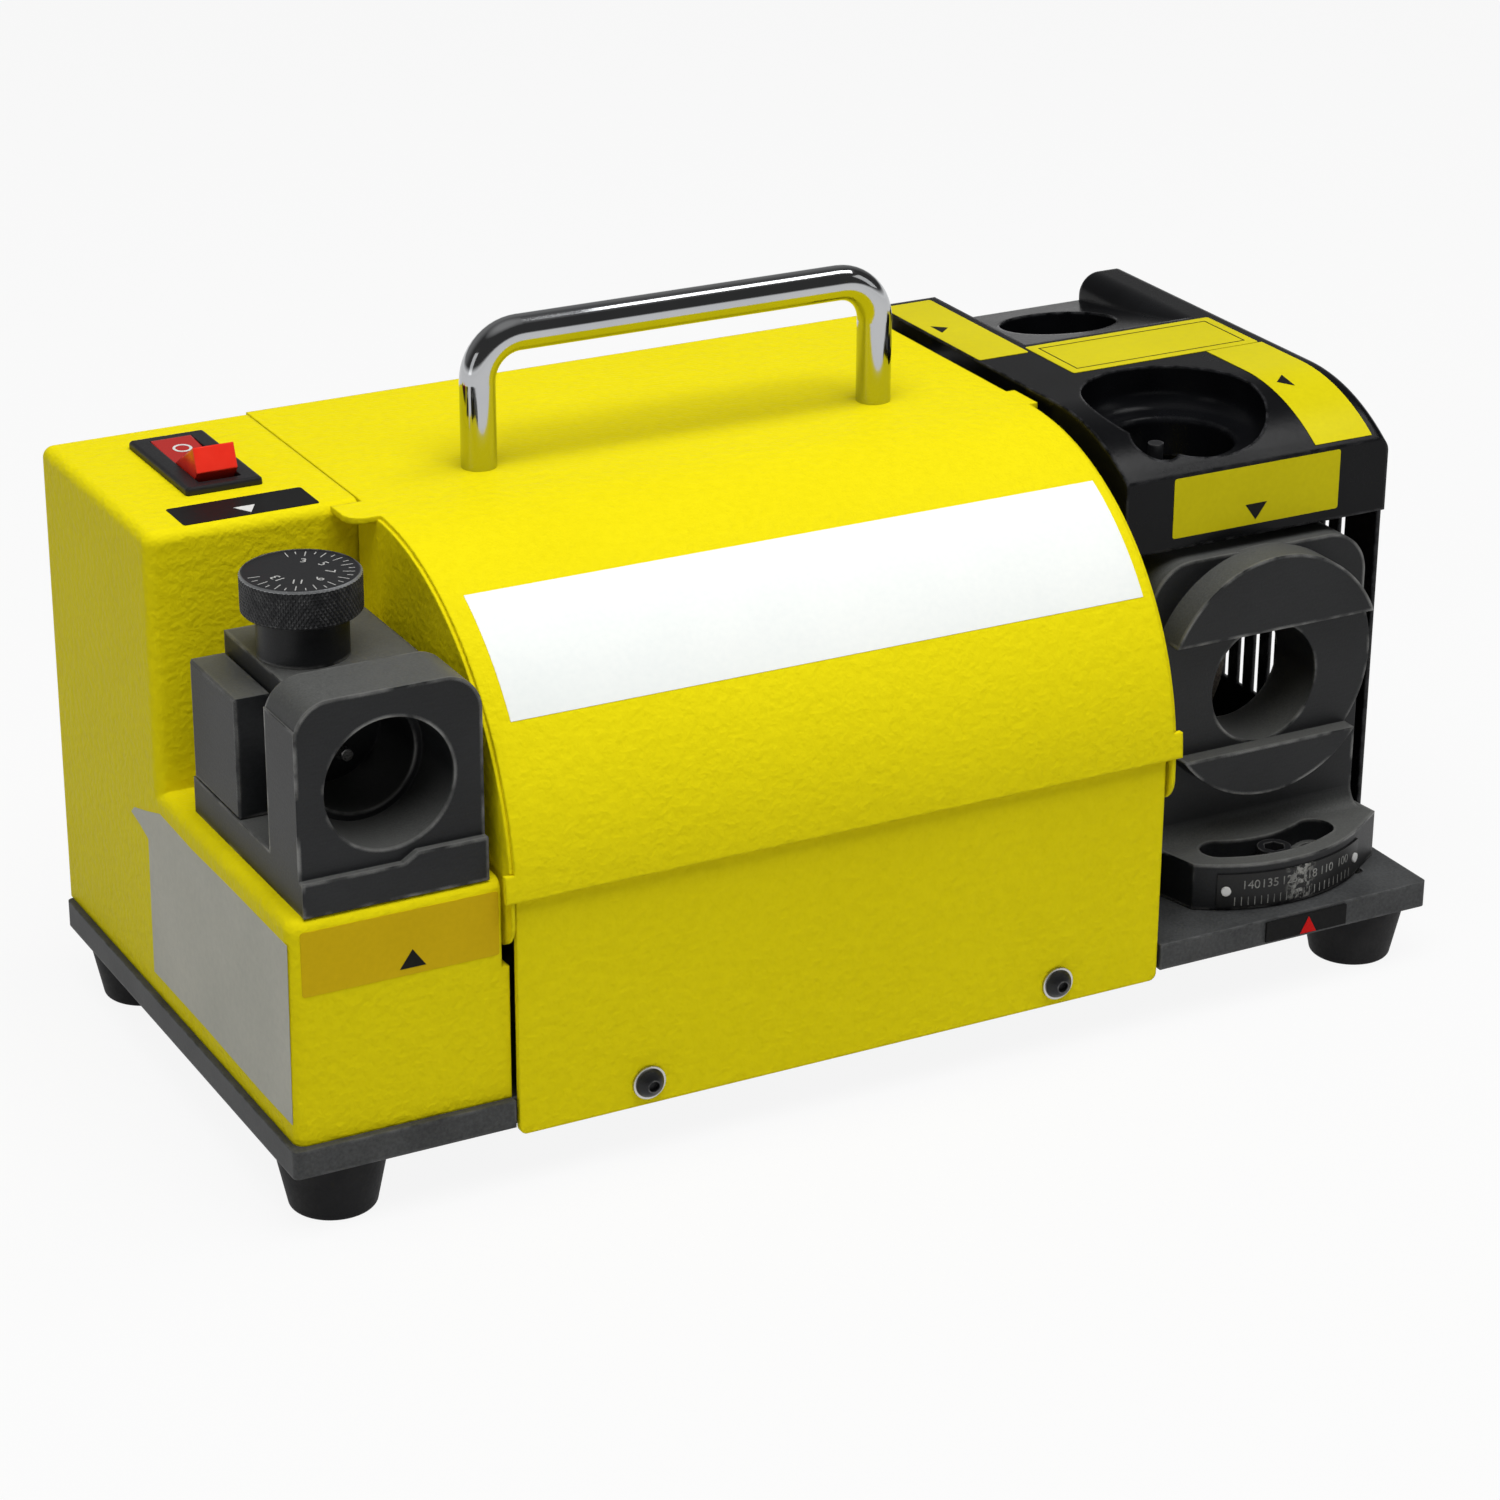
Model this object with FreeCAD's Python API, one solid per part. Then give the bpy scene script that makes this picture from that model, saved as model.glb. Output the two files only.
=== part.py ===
import FreeCAD, Part
import math
import os

os.makedirs("parts", exist_ok=True)
V = FreeCAD.Vector

# Clearances between pieces
running_gap = 0.05
sliding_gap = 0.2
lid_gap = 0.4

# Base plate and feet
base_length = 320.0
base_depth = 153.9
base_thickness = 7.0
foot_height = 16.0
foot_top_r = 13.8
foot_bottom_r = 10.5
foot_inset_left = 15.0
foot_inset_right = 13.0
foot_inset_y = 14.5
foot_screw_r = 2.2

# Sheet housing at the left end
sheet = 2.0
housing_left = 1.7
housing_width = 54.4
housing_front = 2.2
housing_overhang = 3.8
step_top = 57.2
tall_front = 83.7
case_top = 123.1
corner_r = 3.0
notch_width = 1.9
notch_bottom = 34.5

# Hood over the motor
hood_sheet = 1.5
hood_head_gap = 4.2
hood_tab = 2.5
hood_radius = 74.0
lip_bottom = 52.0
lip_height = 6.7
ear_length = 11.4
ear_gap = 0.7
ear_reach = 8.0
ear_corner_r = 5.0
flank_sheet = 1.0
flank_inset = 0.8
flank_bottom = 39.0
flank_corner_r = 7.0
panel_sheet = 1.5
panel_drop = 9.5
panel_front = 0.3
panel_screw_r = 2.0
panel_screw_inset_left = 34.7
panel_screw_inset_right = 31.1
panel_washer = 0.8
panel_head_r = 4.0
panel_socket_r = 1.4
hinge_drop = 5.5
hinge_inset = 6.7
hinge_pin_r = 2.5
hinge_head_r = 3.4
rear_flange_drop = 14.0

# Carrying handle
handle_rod_r = 4.5
handle_rise = 37.2
handle_bend_r = 11.0
handle_inset_left = 35.6
handle_inset_right = 33.9
handle_back = 20.6

# Drill gauge on the left step
gauge_inset = 4.2
gauge_setback = 2.8
gauge_rear_gap = 13.7
gauge_mouth_depth = 17.5
gauge_mouth_rise = 51.2
gauge_deck_rise = 44.8
gauge_mouth_r = 9.0
chuck_r = 16.0
gauge_bore_shift = 0.3
gauge_bore_rise = 28.2
ledge_depth = 2.0
jaw_thickness = 8.8
jaw_length = 28.0
jaw_setback = 1.0
jaw_ledge_rise = 9.2
jaw_height = 30.3
jaw_travel = 5.0
dial_shift = 2.4
dial_setback = 21.5
dial_r = 14.4
dial_height = 9.5
bush_r = 10.9
bush_height = 10.7
spindle_r = 4.0

# Rocker switch
switch_shift_x = 1.4
switch_shift_y = 4.1
switch_width = 19.8
switch_length = 40.0
bezel_height = 2.0
rocker_width = 11.0
rocker_half = 16.0
rocker_top_inset = 0.8
rocker_end_rise = 7.2
rocker_rest = 14.0

# Grinding head
head_width = 80.0
head_wall = 3.0
head_overhang = 1.3
head_top = 124.7
head_front = 31.0
head_edge_drop = 11.4
head_radius = 56.0
apron_bottom = 93.5
ceiling = 99.0
recess_inset_left = 18.2
recess_inset_right = 14.8
recess_length = 47.7
recess_slope = 8.0
ridge_r = 3.0
bead_r = 6.0
rear_port_shift = 2.7
rear_port_setback = 24.7
rear_port_length = 14.0
front_port_shift = 9.8
front_port_setback = 26.0
front_port_depth = 11.0
front_port_tilt = 0.0
front_port_rim_r = 23.8
front_port_length = 10.5
front_port_bowl_r = 5.0
front_port_lip_r = 1.5
port_notch_r = 6.5
port_notch_reach = 21.5
port_notch_rise = 0.5
port_pin_r = 2.0
port_pin_reach = 21.0
port_pin_height = 5.0
cover_sheet = 1.2
vent_pitch = 7.07
vent_width = 3.0
vent_setback = 18.0
vent_count = 13
vent_bottom = 22.0
vent_top = 88.0

# Swivelling chuck seat
seat_shift = 0.2
seat_pivot_setback = 19.0
seat_arc_r = 44.5
seat_arc_left = 36.0
seat_arc_right = 34.0
seat_corner_reach = 35.2
seat_thickness = 12.7
seat_proud = 2.5
seat_depth = 13.5
seat_half = 33.0
seat_top = 90.5
seat_corner_r = 12.0
disc_r = 32.8
disc_rise = 3.4
disc_proud = 8.7
band_half = 16.0
band_proud = 4.2
seat_bore_z = 55.0
slot_r = 34.5
slot_half_width = 5.0
slot_half_angle = 26.0
clamp_shank_r = 3.0
clamp_head_r = 4.5
swivel_pin_r = 5.0
strip_left = 28.0
strip_right = 33.0
rivet_edge = 3.0
strip_height = 9.2

# Motor and grinding wheel
axis_y = 88.0
axis_z = 55.0
can_inset_left = 38.5
can_inset_right = 15.1
can_r = 34.0
can_wall = 3.0
shaft_r = 4.0
bell_depth = 9.0
bearing_r = 11.0
bearing_width = 7.0
wheel_r = 38.0
wheel_width = 14.0
wheel_hub_r = 15.0

# Pieces inside
tray_floor = 44.0
tray_sheet = 1.5
tray_back = 28.0
tray_gap = 5.0
tray_sole = 12.5
tray_end = 14.0
shelf_depth = 12.0
terminal_width = 28.0
terminal_depth = 18.0
terminal_height = 16.0
terminal_setback = 27.7
gland_z = 28.0
gland_r = 11.0
gland_neck_r = 8.0
gland_length = 12.0
core_gap = 5.2
core_inset_left = 48.0
core_inset_right = 36.0
core_slot_r = 2.0
coil_r = 20.0
coil_length = 12.0
coil_round = 3.5
commutator_r = 12.0
brush_inset = 20.0
cradle_inset = 14.0
cradle_width = 16.0
cradle_half = 28.0
cradle_rail = 6.0
cradle_drop = 12.0
strap_width = 12.0
strap_sheet = 1.2
fan_r = 28.0
fan_hub_r = 9.0
fan_length = 11.0

# Derived places
housing_right = housing_left + housing_width
housing_rear = base_depth + housing_overhang
housing_mid = (housing_left + housing_right) / 2
head_right = base_length + head_overhang
head_left = head_right - head_width
head_mid = (head_left + head_right) / 2
hood_left = housing_right + lid_gap
hood_right = head_left - hood_head_gap
ear_rear = tall_front - ear_gap
ear_front = ear_rear - ear_length
panel_screw_left = hood_left + panel_screw_inset_left
panel_screw_right = hood_right - panel_screw_inset_right
handle_left = hood_left + handle_inset_left
handle_right = hood_right - handle_inset_right
gauge_left = housing_left + gauge_inset
gauge_right = housing_right - gauge_inset
gauge_front = housing_front + gauge_setback
gauge_rear = tall_front - gauge_rear_gap
gauge_bore_x = housing_mid - gauge_bore_shift
jaw_rear = gauge_rear - jaw_setback
jaw_front = jaw_rear - jaw_length
dial_x = housing_mid - dial_shift
dial_y = gauge_rear - dial_setback
switch_x = housing_mid + switch_shift_x
switch_y = (tall_front + housing_rear) / 2 + switch_shift_y
recess_left = head_left + recess_inset_left
recess_right = head_right - recess_inset_right
recess_front = housing_rear - recess_length
rear_port_x = head_mid + rear_port_shift
rear_port_y = housing_rear - rear_port_setback
front_port_x = head_mid - front_port_shift
front_port_y = head_front + front_port_setback
vent_first = head_front + vent_setback
seat_x = head_mid + seat_shift
seat_pivot_y = head_front + seat_pivot_setback
seat_front = head_front - seat_proud
can_left = hood_left + can_inset_left
can_right = hood_right - can_inset_right
core_left = can_left + core_inset_left
core_right = can_right - core_inset_right
brush_x = can_left + brush_inset
cradle_left = can_left + cradle_inset
cradle_right = can_right - cradle_inset
deck = foot_height + base_thickness
gauge_floor = step_top
gauge_deck = step_top + gauge_deck_rise
gauge_top = step_top + gauge_mouth_rise
gauge_bore_z = step_top + gauge_bore_rise
jaw_floor = step_top + jaw_ledge_rise
jaw_right = gauge_left + jaw_thickness
dial_floor = gauge_deck + bush_height + sliding_gap
hood_front = panel_front - lid_gap - hood_sheet
hood_bend_y = hood_front + hood_radius
handle_y = hood_bend_y + handle_back
hood_bend_z = case_top - hood_radius
hood_rear = housing_rear - 0.7
hinge_y = housing_rear - hinge_inset
hinge_z = case_top - hinge_drop
panel_inner = panel_front + panel_sheet
panel_left = hood_left + 0.7
panel_right = hood_right - 1.2
panel_top = lip_bottom + 4.5
head_edge_z = head_top - head_edge_drop
cover_right = head_right + cover_sheet
wheel_left = seat_x - wheel_width / 2
wheel_right = seat_x + wheel_width / 2
handle_top = case_top + handle_rise - handle_rod_r
gland_y = housing_rear + gland_length
x_mid = (cover_right + 1.8) / 2
panel_seat = panel_front - panel_washer
panel_screw_tip = panel_seat + 1.3 - math.sqrt(panel_head_r ** 2 - panel_socket_r ** 2)
y_mid = (panel_screw_tip + gland_y) / 2


def box(x0, x1, y0, y1, z0, z1):
    return Part.makeBox(x1 - x0, y1 - y0, z1 - z0, V(x0, y0, z0))


def rod_x(y, z, r, x0, x1):
    return Part.makeCylinder(r, x1 - x0, V(x0, y, z), V(1, 0, 0))


def rod_y(x, z, r, y0, y1):
    return Part.makeCylinder(r, y1 - y0, V(x, y0, z), V(0, 1, 0))


def rod_z(x, y, r, z0, z1):
    return Part.makeCylinder(r, z1 - z0, V(x, y, z0), V(0, 0, 1))


def tube_x(y, z, r_out, r_in, x0, x1):
    return rod_x(y, z, r_out, x0, x1).cut(rod_x(y, z, r_in, x0 - 1, x1 + 1))


def prism_x(points, x0, x1):
    corners = [V(x0, y, z) for y, z in points]
    face = Part.Face(Part.makePolygon(corners + [corners[0]]))
    return face.extrude(V(x1 - x0, 0, 0))


def prism_z(points, z0, z1):
    corners = [V(x, y, z0) for x, y in points]
    face = Part.Face(Part.makePolygon(corners + [corners[0]]))
    return face.extrude(V(0, 0, z1 - z0))


def joined(shapes):
    whole = shapes[0].fuse(shapes[1:])
    return whole.removeSplitter()


def rounded(shape, radius, picked):
    edges = [edge for edge in shape.Edges if picked(edge)]
    return shape.makeFillet(radius, edges) if edges else shape


def lies(edge, **wanted):
    bb = edge.BoundBox
    low = {"x": bb.XMin, "y": bb.YMin, "z": bb.ZMin}
    high = {"x": bb.XMax, "y": bb.YMax, "z": bb.ZMax}
    return all(abs(low[k] - v) < 0.01 and abs(high[k] - v) < 0.01 for k, v in wanted.items())


def along(edge, letter):
    bb = edge.BoundBox
    spans = {"x": bb.XLength, "y": bb.YLength, "z": bb.ZLength}
    return spans[letter] > 0.5 and sum(spans.values()) - spans[letter] < 0.01


def save(name, shape):
    placed = shape.copy()
    placed.translate(V(-x_mid, -y_mid, deck))
    placed.exportStep("parts/" + name + ".step")


# Base plate, its feet and their screws
def foot_places():
    xs = (foot_inset_left, base_length - foot_inset_right)
    ys = (foot_inset_y, base_depth - foot_inset_y)
    return [(x, y) for y in ys for x in xs]


def base_plate():
    plate = box(0, base_length, 0, base_depth, -base_thickness, 0)
    plate = rounded(plate, 1.5, lambda e: along(e, "z"))
    plate = plate.cut(box(panel_left - 1, panel_right + 1, -1, panel_inner, -base_thickness - 1, 1))
    for x, y in foot_places():
        plate = plate.cut(rod_z(x, y, foot_screw_r, -base_thickness - 1, 1))
    for x in (panel_screw_left, panel_screw_right):
        plate = plate.cut(rod_y(x, -base_thickness / 2, panel_screw_r, 0, panel_inner + 10))
    plate = plate.cut(rod_z(seat_x, seat_pivot_y, swivel_pin_r, -base_thickness - 1, 1))
    hole = clamp_shank_r + running_gap
    plate = plate.cut(rod_z(seat_x, seat_pivot_y - slot_r, hole, -base_thickness - 1, 1))
    return plate


def foot(x, y):
    cone = Part.makeCone(foot_bottom_r, foot_top_r, foot_height, V(x, y, -deck), V(0, 0, 1))
    cone = rounded(cone, 1.2, lambda e: lies(e, z=-deck))
    cone = cone.cut(rod_z(x, y, foot_screw_r * 2.1, -deck - 1, -base_thickness - 6))
    return cone.cut(rod_z(x, y, foot_screw_r, -deck - 1, -base_thickness + 1))


def foot_screws():
    screws = []
    for x, y in foot_places():
        head = rod_z(x, y, foot_screw_r * 2.0, -base_thickness - 9, -base_thickness - 6)
        shank = rod_z(x, y, foot_screw_r, -base_thickness - 6, -0.5)
        screws.append(joined([head, shank]))
    return Part.makeCompound(screws)


# Left housing, one bent and welded sheet
def housing_outline(inset):
    front = housing_front + inset
    rear = housing_rear - inset
    wall = tall_front + inset
    low = step_top - inset
    high = case_top - inset
    return [(front, 0), (front, low), (wall, low), (wall, high), (rear, high), (rear, 0)]


def left_housing():
    outer = prism_x(housing_outline(0), housing_left, housing_right)
    tops = ((housing_front, step_top), (tall_front, case_top), (housing_rear, case_top))
    outer = rounded(outer, corner_r, lambda e: any(lies(e, y=y, z=z) for y, z in tops)
                    or lies(e, x=housing_left) and not lies(e, z=0))
    notch = box(housing_right - notch_width, housing_right + 1, 0, tall_front, notch_bottom, case_top)
    outer = outer.cut(notch)
    full = prism_x(housing_outline(sheet), housing_left + sheet, housing_right - sheet)
    spared = box(housing_right - notch_width - sheet, housing_right, 0, tall_front + sheet,
                 notch_bottom - sheet, case_top)
    shell = outer.cut(full.cut(spared))
    shell = shell.cut(box(housing_left + sheet, housing_right - sheet, housing_front + sheet,
                          housing_rear - sheet, -1, 0.5))
    half_w = switch_width / 2 - 1.8
    half_l = switch_length / 2 - 2.2
    shell = shell.cut(box(switch_x - half_w, switch_x + half_w, switch_y - half_l, switch_y + half_l,
                          case_top - 5, case_top + 1))
    shell = shell.cut(rod_x(hinge_y, hinge_z, hinge_pin_r, housing_right - 5, housing_right + 1))
    shell = shell.cut(rod_y(dial_x, gland_z, gland_neck_r, housing_rear - 5, housing_rear + 1))
    for x, y in gauge_screw_places():
        shell = shell.cut(rod_z(x, y, 2.5, step_top - 5, step_top + 1))
    return shell


def cord_gland():
    x = dial_x
    collar = gland_length / 3
    inner = rod_y(x, gland_z, gland_neck_r, housing_rear - sheet, housing_rear)
    flange = rod_y(x, gland_z, gland_r, housing_rear, housing_rear + collar)
    start = V(x, housing_rear + collar, gland_z)
    dome = Part.makeCone(gland_r - 1, gland_neck_r - 0.5, gland_length - collar, start, V(0, 1, 0))
    nut = rod_y(x, gland_z, gland_r, housing_rear - sheet - 5, housing_rear - sheet)
    body = joined([inner, flange, dome, nut])
    return body.cut(rod_y(x, gland_z, gland_neck_r * 0.45, housing_rear - 20, gland_y + 1))


def terminal_block():
    left = housing_mid + 1.1 - terminal_width / 2
    rear = housing_rear - terminal_setback
    block = box(left, left + terminal_width, rear - terminal_depth, rear, 0, terminal_height)
    pitch = terminal_width / 4
    for i in range(4):
        x = left + pitch * (i + 0.5)
        block = block.cut(rod_z(x, rear - terminal_depth / 2, 2, terminal_height / 2, terminal_height + 1))
    return block


# Drill gauge: block, pins, bush, dial and jaw
def gauge_screw_places():
    return [(gauge_bore_x, gauge_front + 8), (gauge_bore_x + 8, gauge_rear - 8)]


def gauge_block():
    base = box(gauge_left, gauge_right, gauge_front, gauge_rear, gauge_floor, gauge_deck)
    base = rounded(base, 2.5, lambda e: lies(e, x=gauge_right, z=gauge_deck))
    mouth = box(gauge_left, gauge_right, gauge_front, gauge_front + gauge_mouth_depth,
                gauge_floor, gauge_top)
    mouth = rounded(mouth, gauge_mouth_r, lambda e: along(e, "y") and lies(e, z=gauge_top))
    block = joined([base, mouth])
    step_y = gauge_front + gauge_mouth_depth
    corner = box(jaw_right, gauge_right - gauge_mouth_r, step_y, step_y + 5, gauge_deck, gauge_deck + 5)
    corner = corner.cut(rod_x(step_y + 5, gauge_deck + 5, 5, jaw_right - 1, gauge_right))
    block = joined([block, corner])
    width = gauge_right - gauge_left
    low = step_top + 8.5
    high = step_top + 10.8
    ledge = [(gauge_left, step_top), (gauge_right, step_top), (gauge_right, high),
             (gauge_left + 0.62 * width, high), (gauge_left + 0.54 * width, low), (gauge_left, low)]
    corners = [V(x, gauge_front - ledge_depth, z) for x, z in ledge]
    face = Part.Face(Part.makePolygon(corners + [corners[0]]))
    block = joined([block, face.extrude(V(0, ledge_depth, 0))])
    recess = box(gauge_left - 1, jaw_right + 0.5, step_y, gauge_rear + 1, jaw_floor, gauge_top)
    block = block.cut(recess)
    block = block.cut(rod_y(gauge_bore_x, gauge_bore_z, chuck_r, gauge_front - 5, step_y))
    block = block.cut(rod_y(gauge_bore_x, gauge_bore_z, chuck_r - 2, step_y - 1, jaw_front + 1))
    hole = spindle_r + running_gap
    block = block.cut(rod_z(dial_x, dial_y, hole, gauge_deck - 16, gauge_deck + 1))
    block = block.cut(rod_x(jaw_rear - 8, jaw_floor + 9, hole, jaw_right - 1, gauge_right - 6))
    for x, y in gauge_screw_places():
        block = block.cut(rod_z(x, y, 2.5, step_top - 1, step_top + 8))
    for x, z in gauge_pin_places():
        block = block.cut(rod_y(x, z, 1.5, jaw_front, jaw_front + 5))
    return block


def gauge_pin_places():
    return [(gauge_bore_x - 6, gauge_bore_z - 6), (gauge_bore_x + 4, gauge_bore_z - 7)]


def gauge_pins():
    pins = [rod_y(x, z, 1.5, jaw_front - 2, jaw_front + 5) for x, z in gauge_pin_places()]
    return Part.makeCompound(pins)


def gauge_screws():
    screws = []
    for x, y in gauge_screw_places():
        head = rod_z(x, y, 4.3, step_top - sheet - 4, step_top - sheet)
        screws.append(joined([head, rod_z(x, y, 2.5, step_top - sheet, step_top + 7)]))
    return Part.makeCompound(screws)


def dial_bush():
    bush = rod_z(dial_x, dial_y, bush_r, gauge_deck, gauge_deck + bush_height)
    return bush.cut(rod_z(dial_x, dial_y, spindle_r + running_gap, gauge_deck - 1, gauge_deck + 20))


def gauge_dial():
    knob = rod_z(dial_x, dial_y, dial_r, dial_floor, dial_floor + dial_height)
    knob = knob.makeChamfer(0.9, [e for e in knob.Edges if not along(e, "z")])
    return joined([knob, rod_z(dial_x, dial_y, spindle_r, gauge_deck - 14, dial_floor + 1)])


def gauge_jaw():
    plate = box(gauge_left, jaw_right, jaw_front, jaw_rear, jaw_floor + sliding_gap, jaw_floor + jaw_height)
    plate = plate.makeChamfer(0.5, [e for e in plate.Edges if lies(e, x=gauge_left)])
    guide = rod_x(jaw_rear - 8, jaw_floor + 9, spindle_r, jaw_right - 1, gauge_right - 8)
    return joined([plate, guide])


# Switch
def switch_bezel():
    half_w = switch_width / 2
    half_l = switch_length / 2
    frame = box(switch_x - half_w, switch_x + half_w, switch_y - half_l, switch_y + half_l,
                case_top, case_top + bezel_height)
    frame = rounded(frame, 1.0, lambda e: along(e, "z") or lies(e, z=case_top + bezel_height))
    body = box(switch_x - half_w + 1.8, switch_x + half_w - 1.8, switch_y - half_l + 2.2,
               switch_y + half_l - 2.2, case_top - 24, case_top)
    whole = joined([frame, body])
    well_w = rocker_width / 2
    well_l = rocker_half + 0.8
    whole = whole.cut(box(switch_x - well_w, switch_x + well_w, switch_y - well_l, switch_y + well_l,
                          case_top - 14, case_top + 5))
    reach = well_w + 1.4
    pivot = rod_x(switch_y, rocker_axis(), 1.5 + running_gap, switch_x - reach, switch_x + reach)
    return whole.cut(pivot)


def rocker_axis():
    return case_top + bezel_height - 3.2


def switch_rocker():
    top = rocker_half - rocker_top_inset
    side = [(-top, rocker_end_rise), (-rocker_half, 1), (-6, -7), (6, -7), (rocker_half, 1),
            (top, rocker_end_rise), (0, 2.4)]
    half = rocker_width / 2 - 0.25
    cap = prism_x([(switch_y + y, rocker_axis() + z) for y, z in side], switch_x - half, switch_x + half)
    pivot = rod_x(switch_y, rocker_axis(), 1.5, switch_x - half - 1.3, switch_x + half + 1.3)
    whole = joined([cap, pivot])
    whole.rotate(V(switch_x, switch_y, rocker_axis()), V(1, 0, 0), -rocker_rest)
    return whole


# Hood with its flanks, hinge and handle
def hood_region(inset, x0, x1):
    r = hood_radius - inset
    bend = math.radians(45)
    front = V(x0, hood_bend_y - r, hood_bend_z)
    middle = V(x0, hood_bend_y - r * math.cos(bend), hood_bend_z + r * math.sin(bend))
    crest = V(x0, hood_bend_y, hood_bend_z + r)
    rear_y = hood_rear - inset
    rear = V(x0, rear_y, hood_bend_z + r)
    low = lip_bottom - 20
    arc = Part.Arc(front, middle, crest).toShape()
    lines = [(crest, rear), (rear, V(x0, rear_y, low)), (V(x0, rear_y, low), V(x0, front.y, low)),
             (V(x0, front.y, low), front)]
    edges = [arc] + [Part.makeLine(a, b) for a, b in lines]
    face = Part.Face(Part.Wire(Part.__sortEdges__(edges)))
    return face.extrude(V(x1 - x0, 0, 0))


def hood_skin():
    x0 = hood_left - hood_tab
    x1 = hood_right + hood_tab
    sheet_all = hood_region(0, x0, x1).cut(hood_region(hood_sheet, x0 - 1, x1 + 1))
    main = sheet_all.common(box(hood_left, hood_right, -50, hood_rear - 10, lip_bottom, case_top + 1))
    back = sheet_all.common(box(hood_left, hood_right, hood_rear - 10, hood_rear + 1,
                                case_top - rear_flange_drop, case_top + 1))
    ears = sheet_all.common(box(hood_left, x1, ear_front, ear_rear, case_top - 10, case_top + 1))
    ear_left = hood_left - ear_reach
    plan = box(ear_left, hood_left + 1, ear_front, ear_rear, case_top - 10, case_top + 1)
    plan = rounded(plan, ear_corner_r, lambda e: lies(e, x=ear_left, y=ear_front))
    wide = hood_region(0, ear_left - 1, hood_left + 1)
    ear = wide.cut(hood_region(hood_sheet, ear_left - 2, hood_left + 2)).common(plan)
    lip = sheet_all.common(box(x0, x1, -50, 40, lip_bottom, lip_bottom + lip_height))
    skin = joined([main, back, ears, ear, lip])
    for x in (handle_left, handle_right):
        skin = skin.cut(rod_z(x, handle_y, 2.5, case_top - 5, case_top + 1))
    return skin


def hood_flank(left):
    x0 = hood_left - flank_sheet if left else hood_right
    side = hood_region(flank_inset, x0, x0 + flank_sheet)
    plate = side.common(box(x0, x0 + flank_sheet, -50, ear_rear, flank_bottom, case_top + 1))
    front = hood_front + flank_inset
    plate = rounded(plate, flank_corner_r, lambda e: lies(e, y=front, z=flank_bottom))
    cover = hood_region(-1, x0 - 1, x0 + 5).cut(hood_region(hood_sheet, x0 - 2, x0 + 6))
    tabs = [cover.common(box(x0 - 1, x0 + 5, ear_front - 0.2, ear_rear + 1, case_top - 10, case_top + 2)),
            cover.common(box(x0 - 1, x0 + 5, -50, 40, lip_bottom - 0.2, lip_bottom + lip_height + 0.2))]
    return plate.cut(tabs[0]).cut(tabs[1])


def hood_lug(x0, x1):
    ring = rod_x(hinge_y, hinge_z, 4.0, x0, x1)
    web = box(x0, x1, hinge_y - 14, hinge_y, hinge_z + 1, case_top - hood_sheet)
    lug = joined([ring, web])
    return lug.cut(rod_x(hinge_y, hinge_z, hinge_pin_r + running_gap, x0 - 1, x1 + 1))


def hinge_pin(left):
    wall = housing_right - sheet if left else head_left + head_wall
    tip = hood_left + 3.5 if left else hood_right - 3.5
    near = min(wall, tip)
    far = max(wall, tip)
    shank = rod_x(hinge_y, hinge_z, hinge_pin_r, near, far)
    start = wall - 2.0 if left else wall
    head = rod_x(hinge_y, hinge_z, hinge_head_r, start, start + 2.0)
    return joined([shank, head])


def handle():
    low = case_top
    top = handle_top
    r = handle_bend_r
    s = r * math.sin(math.radians(45))
    xa = handle_left
    xb = handle_right
    p = [V(xa, handle_y, low), V(xa, handle_y, top - r), V(xa + r - s, handle_y, top - r + s),
         V(xa + r, handle_y, top), V(xb - r, handle_y, top), V(xb - r + s, handle_y, top - r + s),
         V(xb, handle_y, top - r), V(xb, handle_y, low)]
    path = Part.Wire([Part.makeLine(p[0], p[1]), Part.Arc(p[1], p[2], p[3]).toShape(),
                      Part.makeLine(p[3], p[4]), Part.Arc(p[4], p[5], p[6]).toShape(),
                      Part.makeLine(p[6], p[7])])
    ring = Part.Wire([Part.makeCircle(handle_rod_r, p[0], V(0, 0, 1))])
    bar = path.makePipeShell([ring], True, False)
    for x in (xa, xb):
        bar = bar.cut(rod_z(x, handle_y, 2.5, low - 1, low + 12))
    return bar


def handle_screws():
    screws = []
    under = case_top - hood_sheet
    for x in (handle_left, handle_right):
        head = rod_z(x, handle_y, 4.5, under - 3, under)
        screws.append(joined([head, rod_z(x, handle_y, 2.5, under, case_top + 11)]))
    return Part.makeCompound(screws)


# Front panel with its screws, rear panel and tray
def lower_panel():
    face = box(panel_left, panel_right, panel_front, panel_inner, -panel_drop, panel_top)
    face = rounded(face, 2.0, lambda e: along(e, "y") and lies(e, z=-panel_drop))
    shelf = box(panel_left + 4, panel_right - 4, panel_inner, panel_inner + shelf_depth,
                tray_floor - panel_sheet, tray_floor)
    panel = joined([face, shelf])
    for x in (panel_screw_left, panel_screw_right):
        panel = panel.cut(rod_y(x, -base_thickness / 2, panel_screw_r, -5, panel_inner + 1))
    return panel


def panel_washers():
    rings = []
    for x in (panel_screw_left, panel_screw_right):
        ring = rod_y(x, -base_thickness / 2, panel_head_r + 0.3, panel_seat, panel_front)
        rings.append(ring.cut(rod_y(x, -base_thickness / 2, panel_screw_r, -5, 5)))
    return Part.makeCompound(rings)


def panel_screws():
    screws = []
    z = -base_thickness / 2
    for x in (panel_screw_left, panel_screw_right):
        seat = panel_seat
        ball = Part.makeSphere(panel_head_r, V(x, seat + 1.3, z)).common(rod_y(x, z, 6, seat - 5, seat))
        shank = rod_y(x, z, panel_screw_r, seat, panel_inner + 9)
        socket = rod_y(x, z, panel_socket_r, seat - 5, seat - 1.2)
        screws.append(joined([ball, shank]).cut(socket))
    return Part.makeCompound(screws)


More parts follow.
